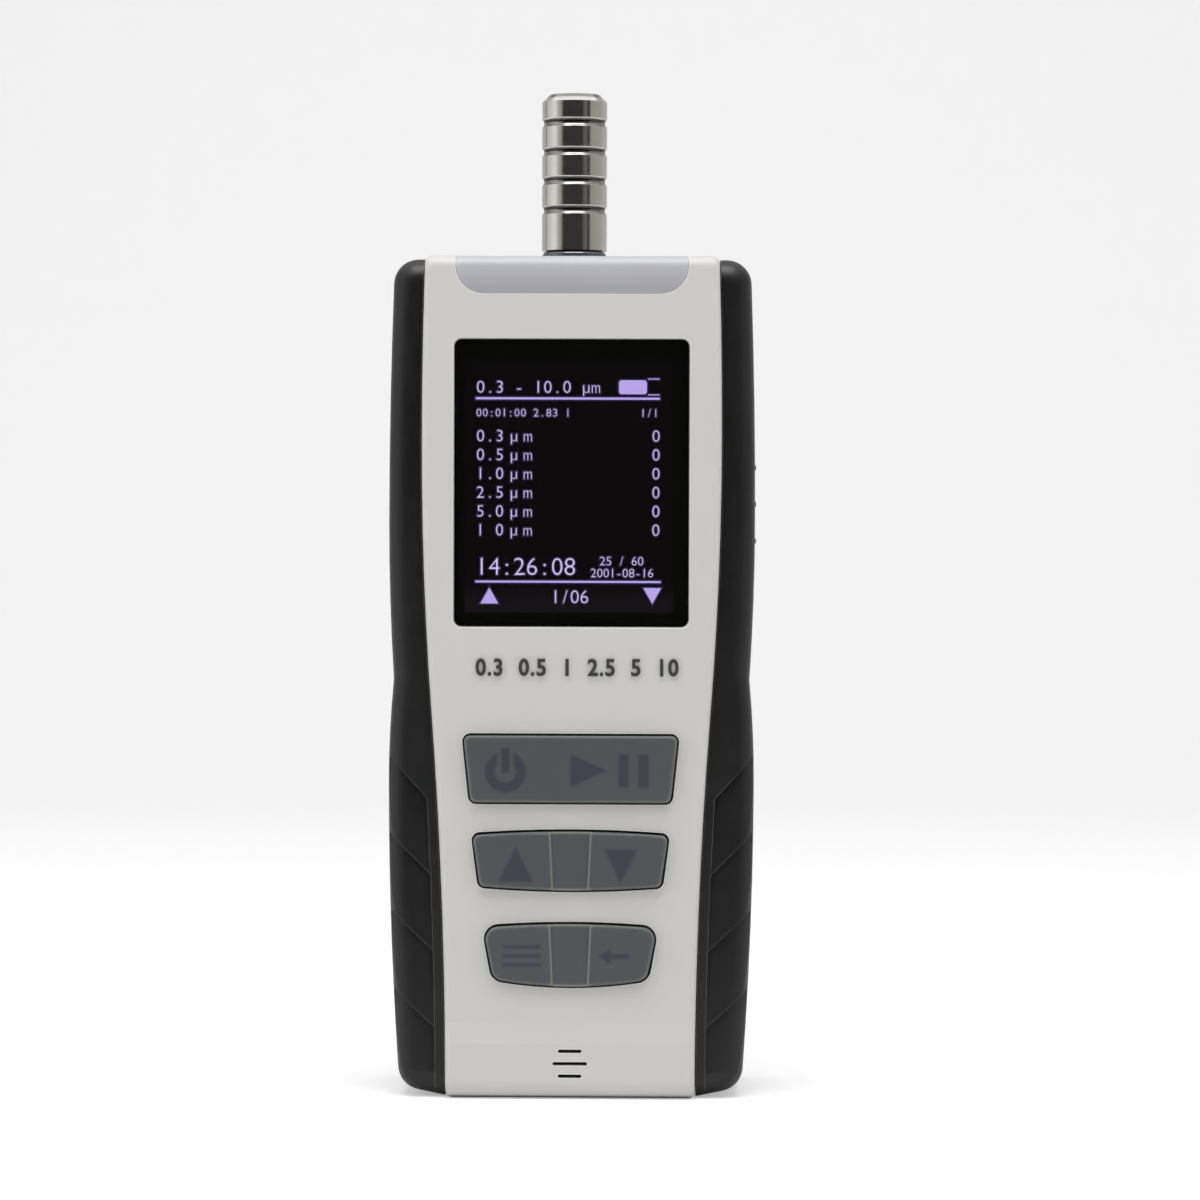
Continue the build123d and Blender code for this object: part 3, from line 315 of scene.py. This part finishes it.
def clear_lens():
    """Clear acrylic with a faint smear of handling on it."""
    w = Wiring("lens_acrylic")
    w.set(Base_Color=(0.93, 0.94, 0.95, 1), Transmission_Weight=1.0, IOR=PLASTIC_IOR,
          Roughness=w.step(w.noise(12 * MM, 4.0), 0.45, 0.8, 0.0, 0.05))
    return w.material


def display_glass():
    """Front of the dark display panel, which the backlight lifts a little along its lower edge."""
    w = Wiring("display_black")
    lower_edge = w.step(w.axes()["Z"], height(606), height(580), 1.0, 0.0)
    black = w.blend(w.noise(20 * MM), (0.0015, 0.0014, 0.0016, 1), (0.0024, 0.0022, 0.0026, 1))
    w.set(Base_Color=black, Roughness=0.6, Specular_IOR_Level=0.04,
          Emission_Color=w.blend(lower_edge, srgb(5, 3, 4), srgb(17, 15, 17)), Emission_Strength=1.0)
    return w.material


def lit_marks(name, colour):
    """Lit picture elements of the display, a little uneven."""
    w = Wiring(name)
    flicker = w.noise(0.4 * MM, 2.0)
    w.set(Base_Color=(0.01, 0.01, 0.02, 1), Roughness=0.4,
          Emission_Color=w.blend(flicker, scaled(colour, 0.82), colour), Emission_Strength=1.0)
    return w.material


def ink(name, colour, gloss=0.5):
    """Pad-printed ink, a little thin in places."""
    w = Wiring(name)
    thin = w.step(w.noise(0.4 * MM, 4.0), 0.55, 0.8)
    w.set(Base_Color=w.blend(thin, colour, scaled(colour, 1.5)), Roughness=0.5, Specular_IOR_Level=gloss)
    return w.material


class KeyWiring(Wiring):
    """Translucent key: its symbols lie under the surface, so they show dark and soft."""

    SOFT = 0.42 * MM

    def __init__(self, name):
        super().__init__(name)
        self.corner_axes = self.axes()

    def from_line(self, start, end):
        """Distance outside a line from start to end, whose inside is on its right."""
        along = (Vector(end) - Vector(start)).normalized()
        outward = (-along.y, along.x)
        x, _, z = self.corner_axes
        shifted = self.math("MULTIPLY_ADD", x, outward[0], -outward[0] * start[0])
        return self.math("MULTIPLY_ADD", self.math("SUBTRACT", z, start[1]), outward[1], shifted)

    def polygon(self, *corners):
        """Distance outside a convex outline whose corners run clockwise."""
        distance = None
        for start, end in zip(corners, corners[1:] + corners[:1]):
            side = self.from_line(start, end)
            distance = side if distance is None else self.math("MAXIMUM", distance, side)
        return distance

    def bar(self, left, base, right, top):
        """Distance outside an upright rectangle."""
        return self.polygon((left, base), (left, top), (right, top), (right, base))

    def radius(self, centre):
        """Distance from a centre."""
        x, _, z = self.corner_axes
        across_square = self.math("POWER", self.math("SUBTRACT", x, centre[0]), 2.0)
        up_square = self.math("POWER", self.math("SUBTRACT", z, centre[1]), 2.0)
        return self.math("SQRT", self.math("ADD", across_square, up_square))

    def ring(self, centre, inner, outer):
        """Distance outside a ring."""
        middle = (inner + outer) / 2
        off = self.math("ABSOLUTE", self.math("SUBTRACT", self.radius(centre), middle))
        return self.math("SUBTRACT", off, (outer - inner) / 2)

    def union(self, *distances):
        """Distance outside the nearest of several outlines."""
        joined = distances[0]
        for distance in distances[1:]:
            joined = self.math("MINIMUM", joined, distance)
        return joined

    def without(self, distance, cut):
        """Distance outside an outline that another one cuts."""
        return self.math("MAXIMUM", distance, self.math("MULTIPLY", cut, -1.0))


def key_material(name, symbols):
    """Key of grey translucent plastic, with a painted highlight round its rims. symbols(wiring) gives the
    distance outside its marks.
    """
    w = KeyWiring(name)
    marked = w.step(symbols(w), -w.SOFT, w.SOFT, 0.9, 0.0)
    body = w.varied(srgb(79, 83, 86), 0.05, 10 * MM)
    marked_body = w.blend(marked, body, srgb(58, 61, 71))
    # Painted highlight along the key's edges and round its thin rims
    painted_edge_highlight = w.math("MULTIPLY", w.edges(0.6 * MM), 0.6)
    thin = w.math("MULTIPLY", w.rim(0.9 * MM), 0.9)
    painted_rim_light = w.math("MAXIMUM", painted_edge_highlight, thin)
    w.set(Base_Color=w.blend(painted_rim_light, marked_body, srgb(142, 141, 133)), IOR=KEY_IOR,
          Roughness=w.patchy(0.42, 0.5, 3 * MM), Normal=w.spark_texture())
    return w.material


# Symbols under the keys, in pixels of the photograph: the ring's centre and radii, its stem and
# the gap round it as half width, bottom and top over the centre
POWER_CENTRE = (507, 771)
POWER_OUTER, POWER_INNER = 20.5, 10.5
POWER_GAP = (8, 0, 26)
POWER_STEM = (4, -1, 24)
# Left, right, top and base, and then each pause bar's left and right
PLAY_MARK = (572, 609, 753, 786)
PAUSE_BARS = ((620, 630), (640, 650))
# Tip, left, right, top and base
UP_MARK = (517.5, 500, 535, 846, 881)
DOWN_MARK = (622.5, 606, 639, 848, 882)
# Left, right and the middles of the bars
LIST_BARS = (505, 543, 946, 955, 964)
LIST_HALF = 1.8
# Tip, end and middle of the arrow, its head's length and half width, and its shaft's start and half width
BACK_MARK = (601, 631, 955)
BACK_HEAD = (12, 8)
BACK_SHAFT = (10, 2.4)


def run_symbols(w):
    """A power sign on the left, and a start and pause sign on the right."""
    x, z = across(POWER_CENTRE[0]), height(POWER_CENTRE[1])
    ring = w.ring((x, z), POWER_INNER * PIXEL, POWER_OUTER * PIXEL)
    gap, stem = (w.bar(x - half * PIXEL, z + low * PIXEL, x + half * PIXEL, z + high * PIXEL)
                 for half, low, high in (POWER_GAP, POWER_STEM))
    left, right, top, base = PLAY_MARK
    play = w.polygon((across(left), height(base)), (across(left), height(top)),
                     (across(right), height((top + base) / 2)))
    pauses = [w.bar(across(start), height(base), across(end), height(top)) for start, end in PAUSE_BARS]
    return w.union(w.without(ring, gap), stem, play, *pauses)


def arrow_symbols(w):
    """Arrowheads up and down."""
    tip, left, right, top, base = UP_MARK
    up = w.polygon((across(left), height(base)), (across(tip), height(top)), (across(right), height(base)))
    tip, left, right, top, base = DOWN_MARK
    down = w.polygon((across(left), height(top)), (across(right), height(top)), (across(tip), height(base)))
    return w.union(up, down)


def menu_symbols(w):
    """Three list bars on the left, and a back arrow on the right."""
    left, right, *rows = LIST_BARS
    bars = [w.bar(across(left), height(y + LIST_HALF), across(right), height(y - LIST_HALF)) for y in rows]
    tip, end, middle = BACK_MARK
    length, half = BACK_HEAD
    head = w.polygon((across(tip), height(middle)), (across(tip + length), height(middle - half)),
                     (across(tip + length), height(middle + half)))
    start, half = BACK_SHAFT
    shaft = w.bar(across(tip + start), height(middle + half), across(end), height(middle - half))
    return w.union(head, shaft, *bars)


def circuit_board():
    """Green solder mask with copper runs showing faintly through it."""
    w = Wiring("circuit_board_mask")
    runs = w.step(w.noise(2.2 * MM, 0.0, stretch=(1, 1, 0.25)), 0.48, 0.52)
    w.set(Base_Color=w.blend(runs, (0.012, 0.09, 0.03, 1), (0.02, 0.14, 0.05, 1)), Roughness=0.35,
          Normal=w.bump(runs, 0.02 * MM))
    return w.material


def finishes():
    """The material of every CAD node, by the node's name."""
    shell = housing_plastic()
    grip = rubber_grip()
    screw = cast_metal("screw_steel", (0.30, 0.30, 0.31, 1), 0.33)
    hose = soft_rubber("hose_silicone", (0.42, 0.42, 0.40, 1), 0.4)
    shared = ((shell, ("front_housing", "rear_housing", "battery_door")),
              (grip, ("left_grip", "right_grip")),
              (screw, ("housing_screws", "door_screws", "board_screws", "sensor_screws")),
              (hose, ("sample_hose", "pump_hose", "exhaust_hose")))
    materials = {name: material for material, names in shared for name in names}
    materials.update({
        "top_insert": insert_plastic(),
        "display_lens": clear_lens(),
        "display_gasket": soft_rubber("gasket_foam", (0.008, 0.008, 0.008, 1), 0.85),
        "lcd_panel": display_glass(),
        "lcd_frame": moulded_plastic("frame_plastic", (0.55, 0.55, 0.53, 1), 0.5),
        "run_key": key_material("run_key_plastic", run_symbols),
        "arrow_key": key_material("arrow_key_plastic", arrow_symbols),
        "menu_key": key_material("menu_key_plastic", menu_symbols),
        "keypad_mat": soft_rubber("keypad_silicone", (0.30, 0.30, 0.31, 1), 0.6),
        "inlet_probe": turned_steel("inlet_steel", (0.80, 0.787, 0.761, 1), 0.13),
        "inlet_o_ring": glossy_rubber("seal_rubber", (0.006, 0.007, 0.028, 1)),
        "inlet_fitting": cast_metal("fitting_brass", BRASS, 0.3),
        "tripod_insert": cast_metal("insert_brass", BRASS, 0.3),
        "usb_port": cast_metal("port_steel", (0.60, 0.60, 0.61, 1), 0.28),
        "optical_block": cast_metal("sensor_alloy", (0.60, 0.61, 0.63, 1), 0.42),
        "laser_module": cast_metal("laser_brass", BRASS, 0.3),
        "pump_motor": cast_metal("motor_steel", (0.55, 0.55, 0.56, 1), 0.3),
        "pump_head": moulded_plastic("pump_plastic", (0.03, 0.03, 0.032, 1), 0.5),
        "exhaust_filter": moulded_plastic("filter_plastic", (0.62, 0.62, 0.6, 1), 0.45),
        "speaker": moulded_plastic("speaker_plastic", (0.012, 0.012, 0.012, 1), 0.5),
        "battery_pack": moulded_plastic("battery_wrap", (0.02, 0.06, 0.2, 1), 0.25),
        "main_board": circuit_board(),
        "detector_board": circuit_board(),
    })
    return materials


def dress_cad():
    """Gives every CAD node its finish."""
    materials = finishes()
    for name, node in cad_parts.items():
        node.data.materials.clear()
        node.data.materials.append(materials[name])


# ---------------------------------------------------------------- thin printed and lit marks, and painted shade in screw recesses
def piece_from(name, mesh, material, body):
    """An object that rides on a body and takes the given material."""
    piece = bpy.data.objects.new(name, mesh)
    bpy.context.scene.collection.objects.link(piece)
    mesh.materials.append(material)
    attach(piece, body)


def slab(shape, outline, front, back):
    """Adds to a mesh a flat slab with an outline of (x, z) points, from front to back."""
    near = [shape.verts.new((x, front, z)) for x, z in outline]
    far = [shape.verts.new((x, back, z)) for x, z in outline]
    shape.faces.new(near)
    shape.faces.new(far[::-1])
    for i, vert in enumerate(near):
        after = (i + 1) % len(near)
        shape.faces.new((vert, far[i], far[after], near[after]))


def rounded(left, base, right, top, radius, corner_points=6):
    """Outline of a rectangle with round corners, anticlockwise seen from the front."""
    outline = []
    turns = ((right - radius, base + radius, -pi / 2), (right - radius, top - radius, 0),
             (left + radius, top - radius, pi / 2), (left + radius, base + radius, pi))
    for x, z, start in turns:
        for i in range(corner_points + 1):
            angle = start + pi / 2 * i / corner_points
            outline.append((x + radius * cos(angle), z + radius * sin(angle)))
    return outline


def mesh_of(shape, name):
    """Mesh from a bmesh, with its faces turned outwards."""
    bmesh.ops.recalc_face_normals(shape, faces=shape.faces)
    mesh = bpy.data.meshes.new(name)
    shape.to_mesh(mesh)
    shape.free()
    return mesh


def rectangle(left, top, right, base):
    """Outline of a rectangle given in pixels."""
    return [(across(left), height(base)), (across(right), height(base)),
            (across(right), height(top)), (across(left), height(top))]


# Size of the font for digits 1 high
FONT_SIZE = 1.42


def text_mesh(words, left, base, tall, width=None, spacing=1.0, weight=0.0, depth=0.02 * MM):
    """Mesh of one line of text that starts at (left, base), with digits tall metres high.

    It is stretched to a width if one is given; weight widens its strokes, and depth is half its thickness.
    """
    curve = bpy.data.curves.new("line", "FONT")
    curve.body = words
    curve.size = tall * FONT_SIZE
    curve.space_character = spacing
    curve.offset = weight
    curve.extrude = depth
    curve.resolution_u = 3
    line = bpy.data.objects.new("line", curve)
    bpy.context.scene.collection.objects.link(line)
    bpy.context.view_layer.update()
    mesh = bpy.data.meshes.new_from_object(line.evaluated_get(bpy.context.evaluated_depsgraph_get()))
    bpy.data.objects.remove(line)
    lowest = min(v.co.x for v in mesh.vertices)
    widest = max(v.co.x for v in mesh.vertices) - lowest
    stretch = width / widest if width else 1.0
    for vert in mesh.vertices:
        x, z, y = vert.co
        vert.co = ((x - lowest) * stretch + left, -y, z + base)
    return mesh


def add_mesh(shape, mesh, front):
    """Adds a text mesh to a shape, with its middle at depth front."""
    for vert in mesh.vertices:
        vert.co.y += front
    shape.from_mesh(mesh)
    bpy.data.meshes.remove(mesh)


# The display's picture, in pixels of the photograph, and how deep it lies in the lens
WINDOW = (465, 362, 674, 612)
WINDOW_DEPTH = 0.05 * MM
VIEW_LEFT, VIEW_RIGHT = 476.0, 660.5
# Width of the cells that hold one character each, and of the widest character in one
CELL = 9.6
SMALL_CELL = 6.35
CLOCK_CELL = 12.6
GLYPH_SHARE = 0.84
# How much thinner than the font's the strokes are, for each pixel of height
STROKE_THINNER = 0.0045 * MM
BLOCK_THICK = 0.02 * MM

# Each row: a particle size, its unit and a count, on one base
ROW_BASES = (441, 459.8, 478.6, 497.4, 516.2, 535)
ROW_SIZES = ("0.3", "0.5", "1.0", "2.5", "5.0", "1 0")
ROW_TALL = 12
# Characters, left end, base, width of a cell and height of a digit
HEADING_LINES = (("0.3 - 10.0 \u00b5m", VIEW_LEFT, 392.5, CELL, 12.5),
                 ("00:01:00 2.83 l", VIEW_LEFT, 416, SMALL_CELL, 8),
                 ("1/l", 640, 416, SMALL_CELL, 8))
ROW_LINES = tuple((words, left, base, CELL, ROW_TALL)
                  for size, base in zip(ROW_SIZES, ROW_BASES)
                  for words, left in ((size, VIEW_LEFT), ("\u00b5", 509.5), ("m", 523.4), ("0", 651.5)))
FOOT_LINES = (("14:26:08", VIEW_LEFT, 574.5, CLOCK_CELL, 18),
              ("25 / 60", 600, 564.5, SMALL_CELL, 9),
              ("2001-08-16", 591, 576.5, SMALL_CELL, 9),
              ("1/06", 551.5, 602.5, CELL, 13.5))
# Left, top, right and base of the full part of the battery sign, and its corners' radius
BATTERY = (619, 379.5, 647, 393.5)
BATTERY_RADIUS = 3
# Left, top, right and base of the battery sign's empty end and of the rules over and under the rows
RULES = ((648, 377.8, 659.5, 378.8), (648, 393.6, 659.5, 394.6), (VIEW_LEFT, 396.8, 660, 399.0),
         (VIEW_LEFT, 580, VIEW_RIGHT + 1, 582.0))
# Corners of the arrowheads over the soft keys, and about the radius of a circle inside one
ARROWHEADS = (((481, 603), (499, 603), (490, 587)), ((644, 587), (653, 603), (662, 587)))
ARROWHEAD_RADIUS = 5


def display_shapes(front, spread):
    """The characters and the blocks lit on the display, with each outline grown by a spread."""
    back = front + BLOCK_THICK
    grown = spread / PIXEL
    characters, blocks = bmesh.new(), bmesh.new()

    for words, left, base, cell, tall in HEADING_LINES + ROW_LINES + FOOT_LINES:
        widest = cell * GLYPH_SHARE * PIXEL
        for i, character in enumerate(words):
            if character == " ":
                continue
            mesh = text_mesh(character, 0, height(base), tall * PIXEL, weight=spread - STROKE_THINNER * tall)
            wide = max(v.co.x for v in mesh.vertices)
            squeeze = min(1.0, (widest + 2 * spread) / wide)
            middle = across(left + (i + 0.5) * cell)
            for vert in mesh.vertices:
                vert.co.x = middle + (vert.co.x - wide / 2) * squeeze
            add_mesh(characters, mesh, front)

    left, top, right, base = BATTERY
    slab(blocks, rounded(across(left - grown), height(base + grown), across(right + grown),
                         height(top - grown), BATTERY_RADIUS * PIXEL), front, back)
    for left, top, right, base in RULES:
        slab(blocks, rectangle(left - grown, top - grown, right + grown, base + grown), front, back)
    swell = 1 + grown / ARROWHEAD_RADIUS
    for corners in ARROWHEADS:
        middle_x = sum(x for x, _ in corners) / len(corners)
        middle_y = sum(y for _, y in corners) / len(corners)
        slab(blocks, [(across(middle_x + (x - middle_x) * swell), height(middle_y + (y - middle_y) * swell))
                      for x, y in corners], front, back)
    return characters, blocks


# How far behind the picture's depth the dark face starts and ends
FACE_FRONT, FACE_BACK = 0.005 * MM, 0.03 * MM
# How far in front of it the haze and the lit marks lie, and how far the haze spreads round them
HAZE_AHEAD, MARKS_AHEAD = 0.04 * MM, 0.09 * MM
HAZE_SPREAD = 0.32 * MM


def display_picture():
    """The display's dark face, bonded to the back of the lens, its lit marks and their blue haze."""
    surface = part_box("display_lens")[1].y - WINDOW_DEPTH
    face = bmesh.new()
    slab(face, rectangle(*WINDOW), surface + FACE_FRONT, surface + FACE_BACK)
    piece_from("display_face", mesh_of(face, "display_face"), display_glass(), "casing")
    haze = lit_marks("display_haze", srgb(28, 17, 60))
    lit_text = lit_marks("display_text", srgb(222, 210, 252))
    lit_blocks = lit_marks("display_blocks", srgb(196, 174, 246))
    text_haze, block_haze = display_shapes(surface - HAZE_AHEAD, HAZE_SPREAD)
    text, blocks = display_shapes(surface - MARKS_AHEAD, 0.0)
    for name, shape, material in (("display_text_haze", text_haze, haze),
                                  ("display_block_haze", block_haze, haze),
                                  ("display_text", text, lit_text),
                                  ("display_blocks", blocks, lit_blocks)):
        piece_from(name, mesh_of(shape, name), material, "casing")


# The mask's distance from the lens's edge, its thickness, and the radius of its outer and inner corners
MASK_MARGIN = 0.3 * MM
MASK_THICK = 0.03 * MM
MASK_RADIUS, OPENING_RADIUS = 1.3 * MM, 0.4 * MM


def lens_mask():
    """Black border printed on the back of the lens, open over the display."""
    lowest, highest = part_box("display_lens")
    front = highest.y - WINDOW_DEPTH
    back = front + MASK_THICK
    outer = rounded(lowest.x + MASK_MARGIN, lowest.z + MASK_MARGIN,
                    highest.x - MASK_MARGIN, highest.z - MASK_MARGIN, MASK_RADIUS)
    left, top, right, base = WINDOW
    inner = rounded(across(left), height(base), across(right), height(top), OPENING_RADIUS)
    shape = bmesh.new()
    rings = [[shape.verts.new((x, y, z)) for x, z in outline]
             for y, outline in ((front, outer), (back, outer), (back, inner), (front, inner))]
    for ring, after in zip(rings, rings[1:] + rings[:1]):
        for i in range(len(ring)):
            j = (i + 1) % len(ring)
            shape.faces.new((ring[i], ring[j], after[j], after[i]))
    piece_from("lens_mask", mesh_of(shape, "lens_mask"),
               ink("mask_ink", (0.0026, 0.0026, 0.0021, 1), gloss=0.04), "casing")


def loose_boxes(name):
    """Lowest and highest corners of each separate solid of a CAD node."""
    shape = bmesh.new()
    shape.from_mesh(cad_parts[name].data)
    bmesh.ops.remove_doubles(shape, verts=shape.verts, dist=0.001 * MM)
    left_over = set(shape.verts)
    boxes = []
    while left_over:
        solid = {left_over.pop()}
        edge_of_search = list(solid)
        while edge_of_search:
            for edge in edge_of_search.pop().link_edges:
                fresh = [vert for vert in edge.verts if vert in left_over]
                left_over.difference_update(fresh)
                solid.update(fresh)
                edge_of_search.extend(fresh)
        boxes.append([[limit(vert.co[axis] for vert in solid) for axis in range(3)] for limit in (min, max)])
    shape.free()
    return sorted(boxes)


# Outline of a cross whose arms are 3 long and 2 wide
CROSS = ((1, 3), (1, 1), (3, 1), (3, -1), (1, -1), (1, -3), (-1, -3), (-1, -1), (-3, -1), (-3, 1), (-1, 1),
         (-1, 3))
# Its arm's length as a share of the screw head's width, how deep it goes in and how far it stands out
RECESS_REACH = 0.28
RECESS_DEPTH = 0.02 * MM
RECESS_PROUD = 0.015 * MM


def screw_recess_shade():
    """Dark crosses of painted shade on the heads of the screws on the back, standing in for their cross
    recesses.
    """
    shape = bmesh.new()
    for name in ("housing_screws", "door_screws"):
        for lowest, highest in loose_boxes(name):
            x, z = (lowest[0] + highest[0]) / 2, (lowest[2] + highest[2]) / 2
            head = highest[1]
            unit = RECESS_REACH * (highest[0] - lowest[0]) / 3
            slab(shape, [(x + right * unit, z + up * unit) for right, up in CROSS],
                 head - RECESS_DEPTH, head + RECESS_PROUD)
    # Painted shade of the cross recesses
    piece_from("screw_recess_shade", mesh_of(shape, "screw_recess_shade"),
               ink("recess_shade", (0.012, 0.012, 0.012, 1), gloss=0.2), "casing")


# The row of sizes: left end and base in pixels, height of a digit, width of the row, growth of its
# strokes, half its thickness, and how far its middle stands off the panel
LABEL_WORDS = "0.3  0.5  1  2.5  5  10"
LABEL_LEFT, LABEL_BASE = 476.6, 674.5
LABEL_TALL, LABEL_WIDTH = 3.75 * MM, 46 * MM
LABEL_GROWTH = 0.16 * MM
LABEL_DEPTH = 0.015 * MM
LABEL_PROUD = 0.01 * MM


def size_label():
    """Printed row of the channel sizes under the display."""
    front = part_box("front_housing")[0].y
    shape = bmesh.new()
    mesh = text_mesh(LABEL_WORDS, across(LABEL_LEFT), height(LABEL_BASE), LABEL_TALL, width=LABEL_WIDTH,
                     spacing=1.1, weight=LABEL_GROWTH, depth=LABEL_DEPTH)
    add_mesh(shape, mesh, front - LABEL_PROUD)
    piece_from("size_label", mesh_of(shape, "size_label"), ink("label_ink", srgb(58, 58, 60)),
               "casing")


# ---------------------------------------------------------------- studio
CAMERA_PLACE = (0.0195, -0.9223, 0.13446)
CAMERA_LENS, SENSOR_WIDTH = 119.38, 36
# Degrees that the camera looks down, leans to its right and turns to its left
CAMERA_PITCH = 1.336
CAMERA_ROLL = -0.19
CAMERA_TURN = 0.83


def set_camera():
    """Camera level with the display, a little above the middle of the counter."""
    data = bpy.data.cameras.new("camera")
    data.lens = CAMERA_LENS
    data.sensor_width = SENSOR_WIDTH
    camera = bpy.data.objects.new("camera", data)
    bpy.context.scene.collection.objects.link(camera)
    camera.location = CAMERA_PLACE
    camera.rotation_euler = (radians(90 - CAMERA_PITCH), radians(CAMERA_ROLL), radians(CAMERA_TURN))
    bpy.context.scene.camera = camera


# What the softboxes face, and each one's name, place, size, watts and whether gloss and metal mirror it
LIT_POINT = (0, 0, 0.12)
SOFTBOXES = (("left_box", (-0.75, -0.25, 0.30), (0.55, 0.9), 1.6, False),
             ("right_box", (0.80, -0.20, 0.28), (0.5, 0.9), 1.25, False),
             ("top_box", (0, -0.30, 0.95), (0.8, 0.6), 5.3, True))


def set_lights():
    """Softboxes on both sides and above, a little in front of the counter's face."""
    for name, place, size, watts, mirrored in SOFTBOXES:
        data = bpy.data.lights.new(name, "AREA")
        data.shape = "RECTANGLE"
        data.size, data.size_y = size
        data.energy = watts
        lamp = bpy.data.objects.new(name, data)
        bpy.context.scene.collection.objects.link(lamp)
        lamp.location = place
        lamp.rotation_euler = (Vector(LIT_POINT) - Vector(place)).to_track_quat("-Z", "Y").to_euler()
        lamp.visible_glossy = mirrored


# Bands that polished metal mirrors: turn from the front, in degrees, left below zero, and brightness
MIRRORED_BANDS = ((-180, 0.90), (-140, 0.75), (-135, 0.08), (-122, 0.16), (-112, 0.54), (-72, 0.84),
                  (-60, 0.48), (-46, 0.28), (-41, 0.035), (30, 0.035), (34, 0.13), (47, 0.13), (50, 0.016),
                  (55, 0.024), (60, 0.32), (115, 0.39), (128, 0.70), (180, 0.70))
# Warm tint of the bands
BAND_TINT = (1, 0.975, 0.93)
# Upward part of a direction from which the mirrored bands give way to a white ceiling
CEILING_START, CEILING_FULL = 0.45, 0.75
ROOM_LIGHT = 0.52
BACKDROP = srgb(242, 241, 243)


def set_world():
    """Pale surroundings for diffuse light and the camera; gloss and glass show a studio in bands."""
    world = bpy.data.worlds.new("studio")
    bpy.context.scene.world = world
    n = Nodes(world)

    def background(colour, strength=1.0):
        return n.add("Background", colour, strength).outputs[0]

    x, y, z = n.axes("Generated")
    turn = n.math("ARCTAN2", x, n.math("MULTIPLY", y, -1.0))
    bands = n.add("ValToRGB", n.add("MapRange", turn, -pi, pi).outputs[0])
    stops = bands.color_ramp.elements
    while len(stops) < len(MIRRORED_BANDS):
        stops.new(0.5)
    for stop, (angle, brightness) in zip(stops, MIRRORED_BANDS):
        stop.position = (angle + 180) / 360
        stop.color = [brightness * share for share in BAND_TINT] + [1]
    ceiling = n.step(z, CEILING_START, CEILING_FULL)
    mirrored = n.choose(ceiling, background(bands.outputs[0]), background(WHITE))
    path = n.add("LightPath").outputs
    glass_or_gloss = n.math("MAXIMUM", path["Is Glossy Ray"], path["Is Transmission Ray"])
    lit = n.choose(glass_or_gloss, background(WHITE, ROOM_LIGHT), mirrored)
    n.add("OutputWorld", n.choose(path["Is Camera Ray"], lit, background(BACKDROP)))


# The table and backdrop: half their width, front end, back, height and radius of the curve between
FLOOR_REACH, FLOOR_FRONT, FLOOR_BACK, FLOOR_RISE, FLOOR_CURVE = 2.5, -2.5, 1.6, 2.2, 0.7
TABLE_WHITE = (0.82, 0.82, 0.82, 1)
ROOM_DARK = (0.03, 0.03, 0.03, 1)
# Share of white that the table adds where the camera sees it, and far in front, where the lamps fade
GLOW, FAR_GLOW = 0.36, 0.46
FAR_START, FAR_FULL = -0.8, -2.3
# Places in front from which gloss and metal mirror a dark room, as if the table ended there
DARK_START, DARK_FULL = -0.25, -0.60


def table_material():
    """White table with a glow for the camera, dark in front for gloss and metal."""
    material = bpy.data.materials.new("table_white")
    n = Nodes(material)
    y = n.axes()["Y"]
    table, dark = (n.add("BsdfDiffuse", colour).outputs[0] for colour in (TABLE_WHITE, ROOM_DARK))
    glow = n.add("Emission", WHITE, n.step(y, FAR_START, FAR_FULL, GLOW, FAR_GLOW)).outputs[0]
    path = n.add("LightPath").outputs
    seen = n.choose(path["Is Camera Ray"], table, n.add("AddShader", table, glow).outputs[0])
    dark_share = n.math("MULTIPLY", n.step(y, DARK_START, DARK_FULL), path["Is Glossy Ray"])
    n.add("OutputMaterial", n.choose(dark_share, seen, dark))
    return material


def set_floor():
    """White table that runs back and curves up into the backdrop."""
    curve_start = FLOOR_BACK - FLOOR_CURVE
    profile = [(FLOOR_FRONT, 0.0), (curve_start, 0.0)]
    profile += [(curve_start + FLOOR_CURVE * sin(radians(a)), FLOOR_CURVE - FLOOR_CURVE * cos(radians(a)))
                for a in range(10, 91, 10)]
    profile.append((FLOOR_BACK, FLOOR_RISE))
    shape = bmesh.new()
    rows = [[shape.verts.new((x, y, z)) for x in (-FLOOR_REACH, FLOOR_REACH)] for y, z in profile]
    for row, after in zip(rows, rows[1:]):
        shape.faces.new((row[0], row[1], after[1], after[0]))
    mesh = bpy.data.meshes.new("floor")
    shape.to_mesh(mesh)
    shape.free()
    for face in mesh.polygons:
        face.use_smooth = True
    floor = bpy.data.objects.new("floor", mesh)
    bpy.context.scene.collection.objects.link(floor)
    mesh.materials.append(table_material())


set_camera()
dress_cad()
display_picture()
lens_mask()
size_label()
screw_recess_shade()
set_lights()
set_world()
set_floor()
bpy.context.scene.view_settings.view_transform = "Standard"
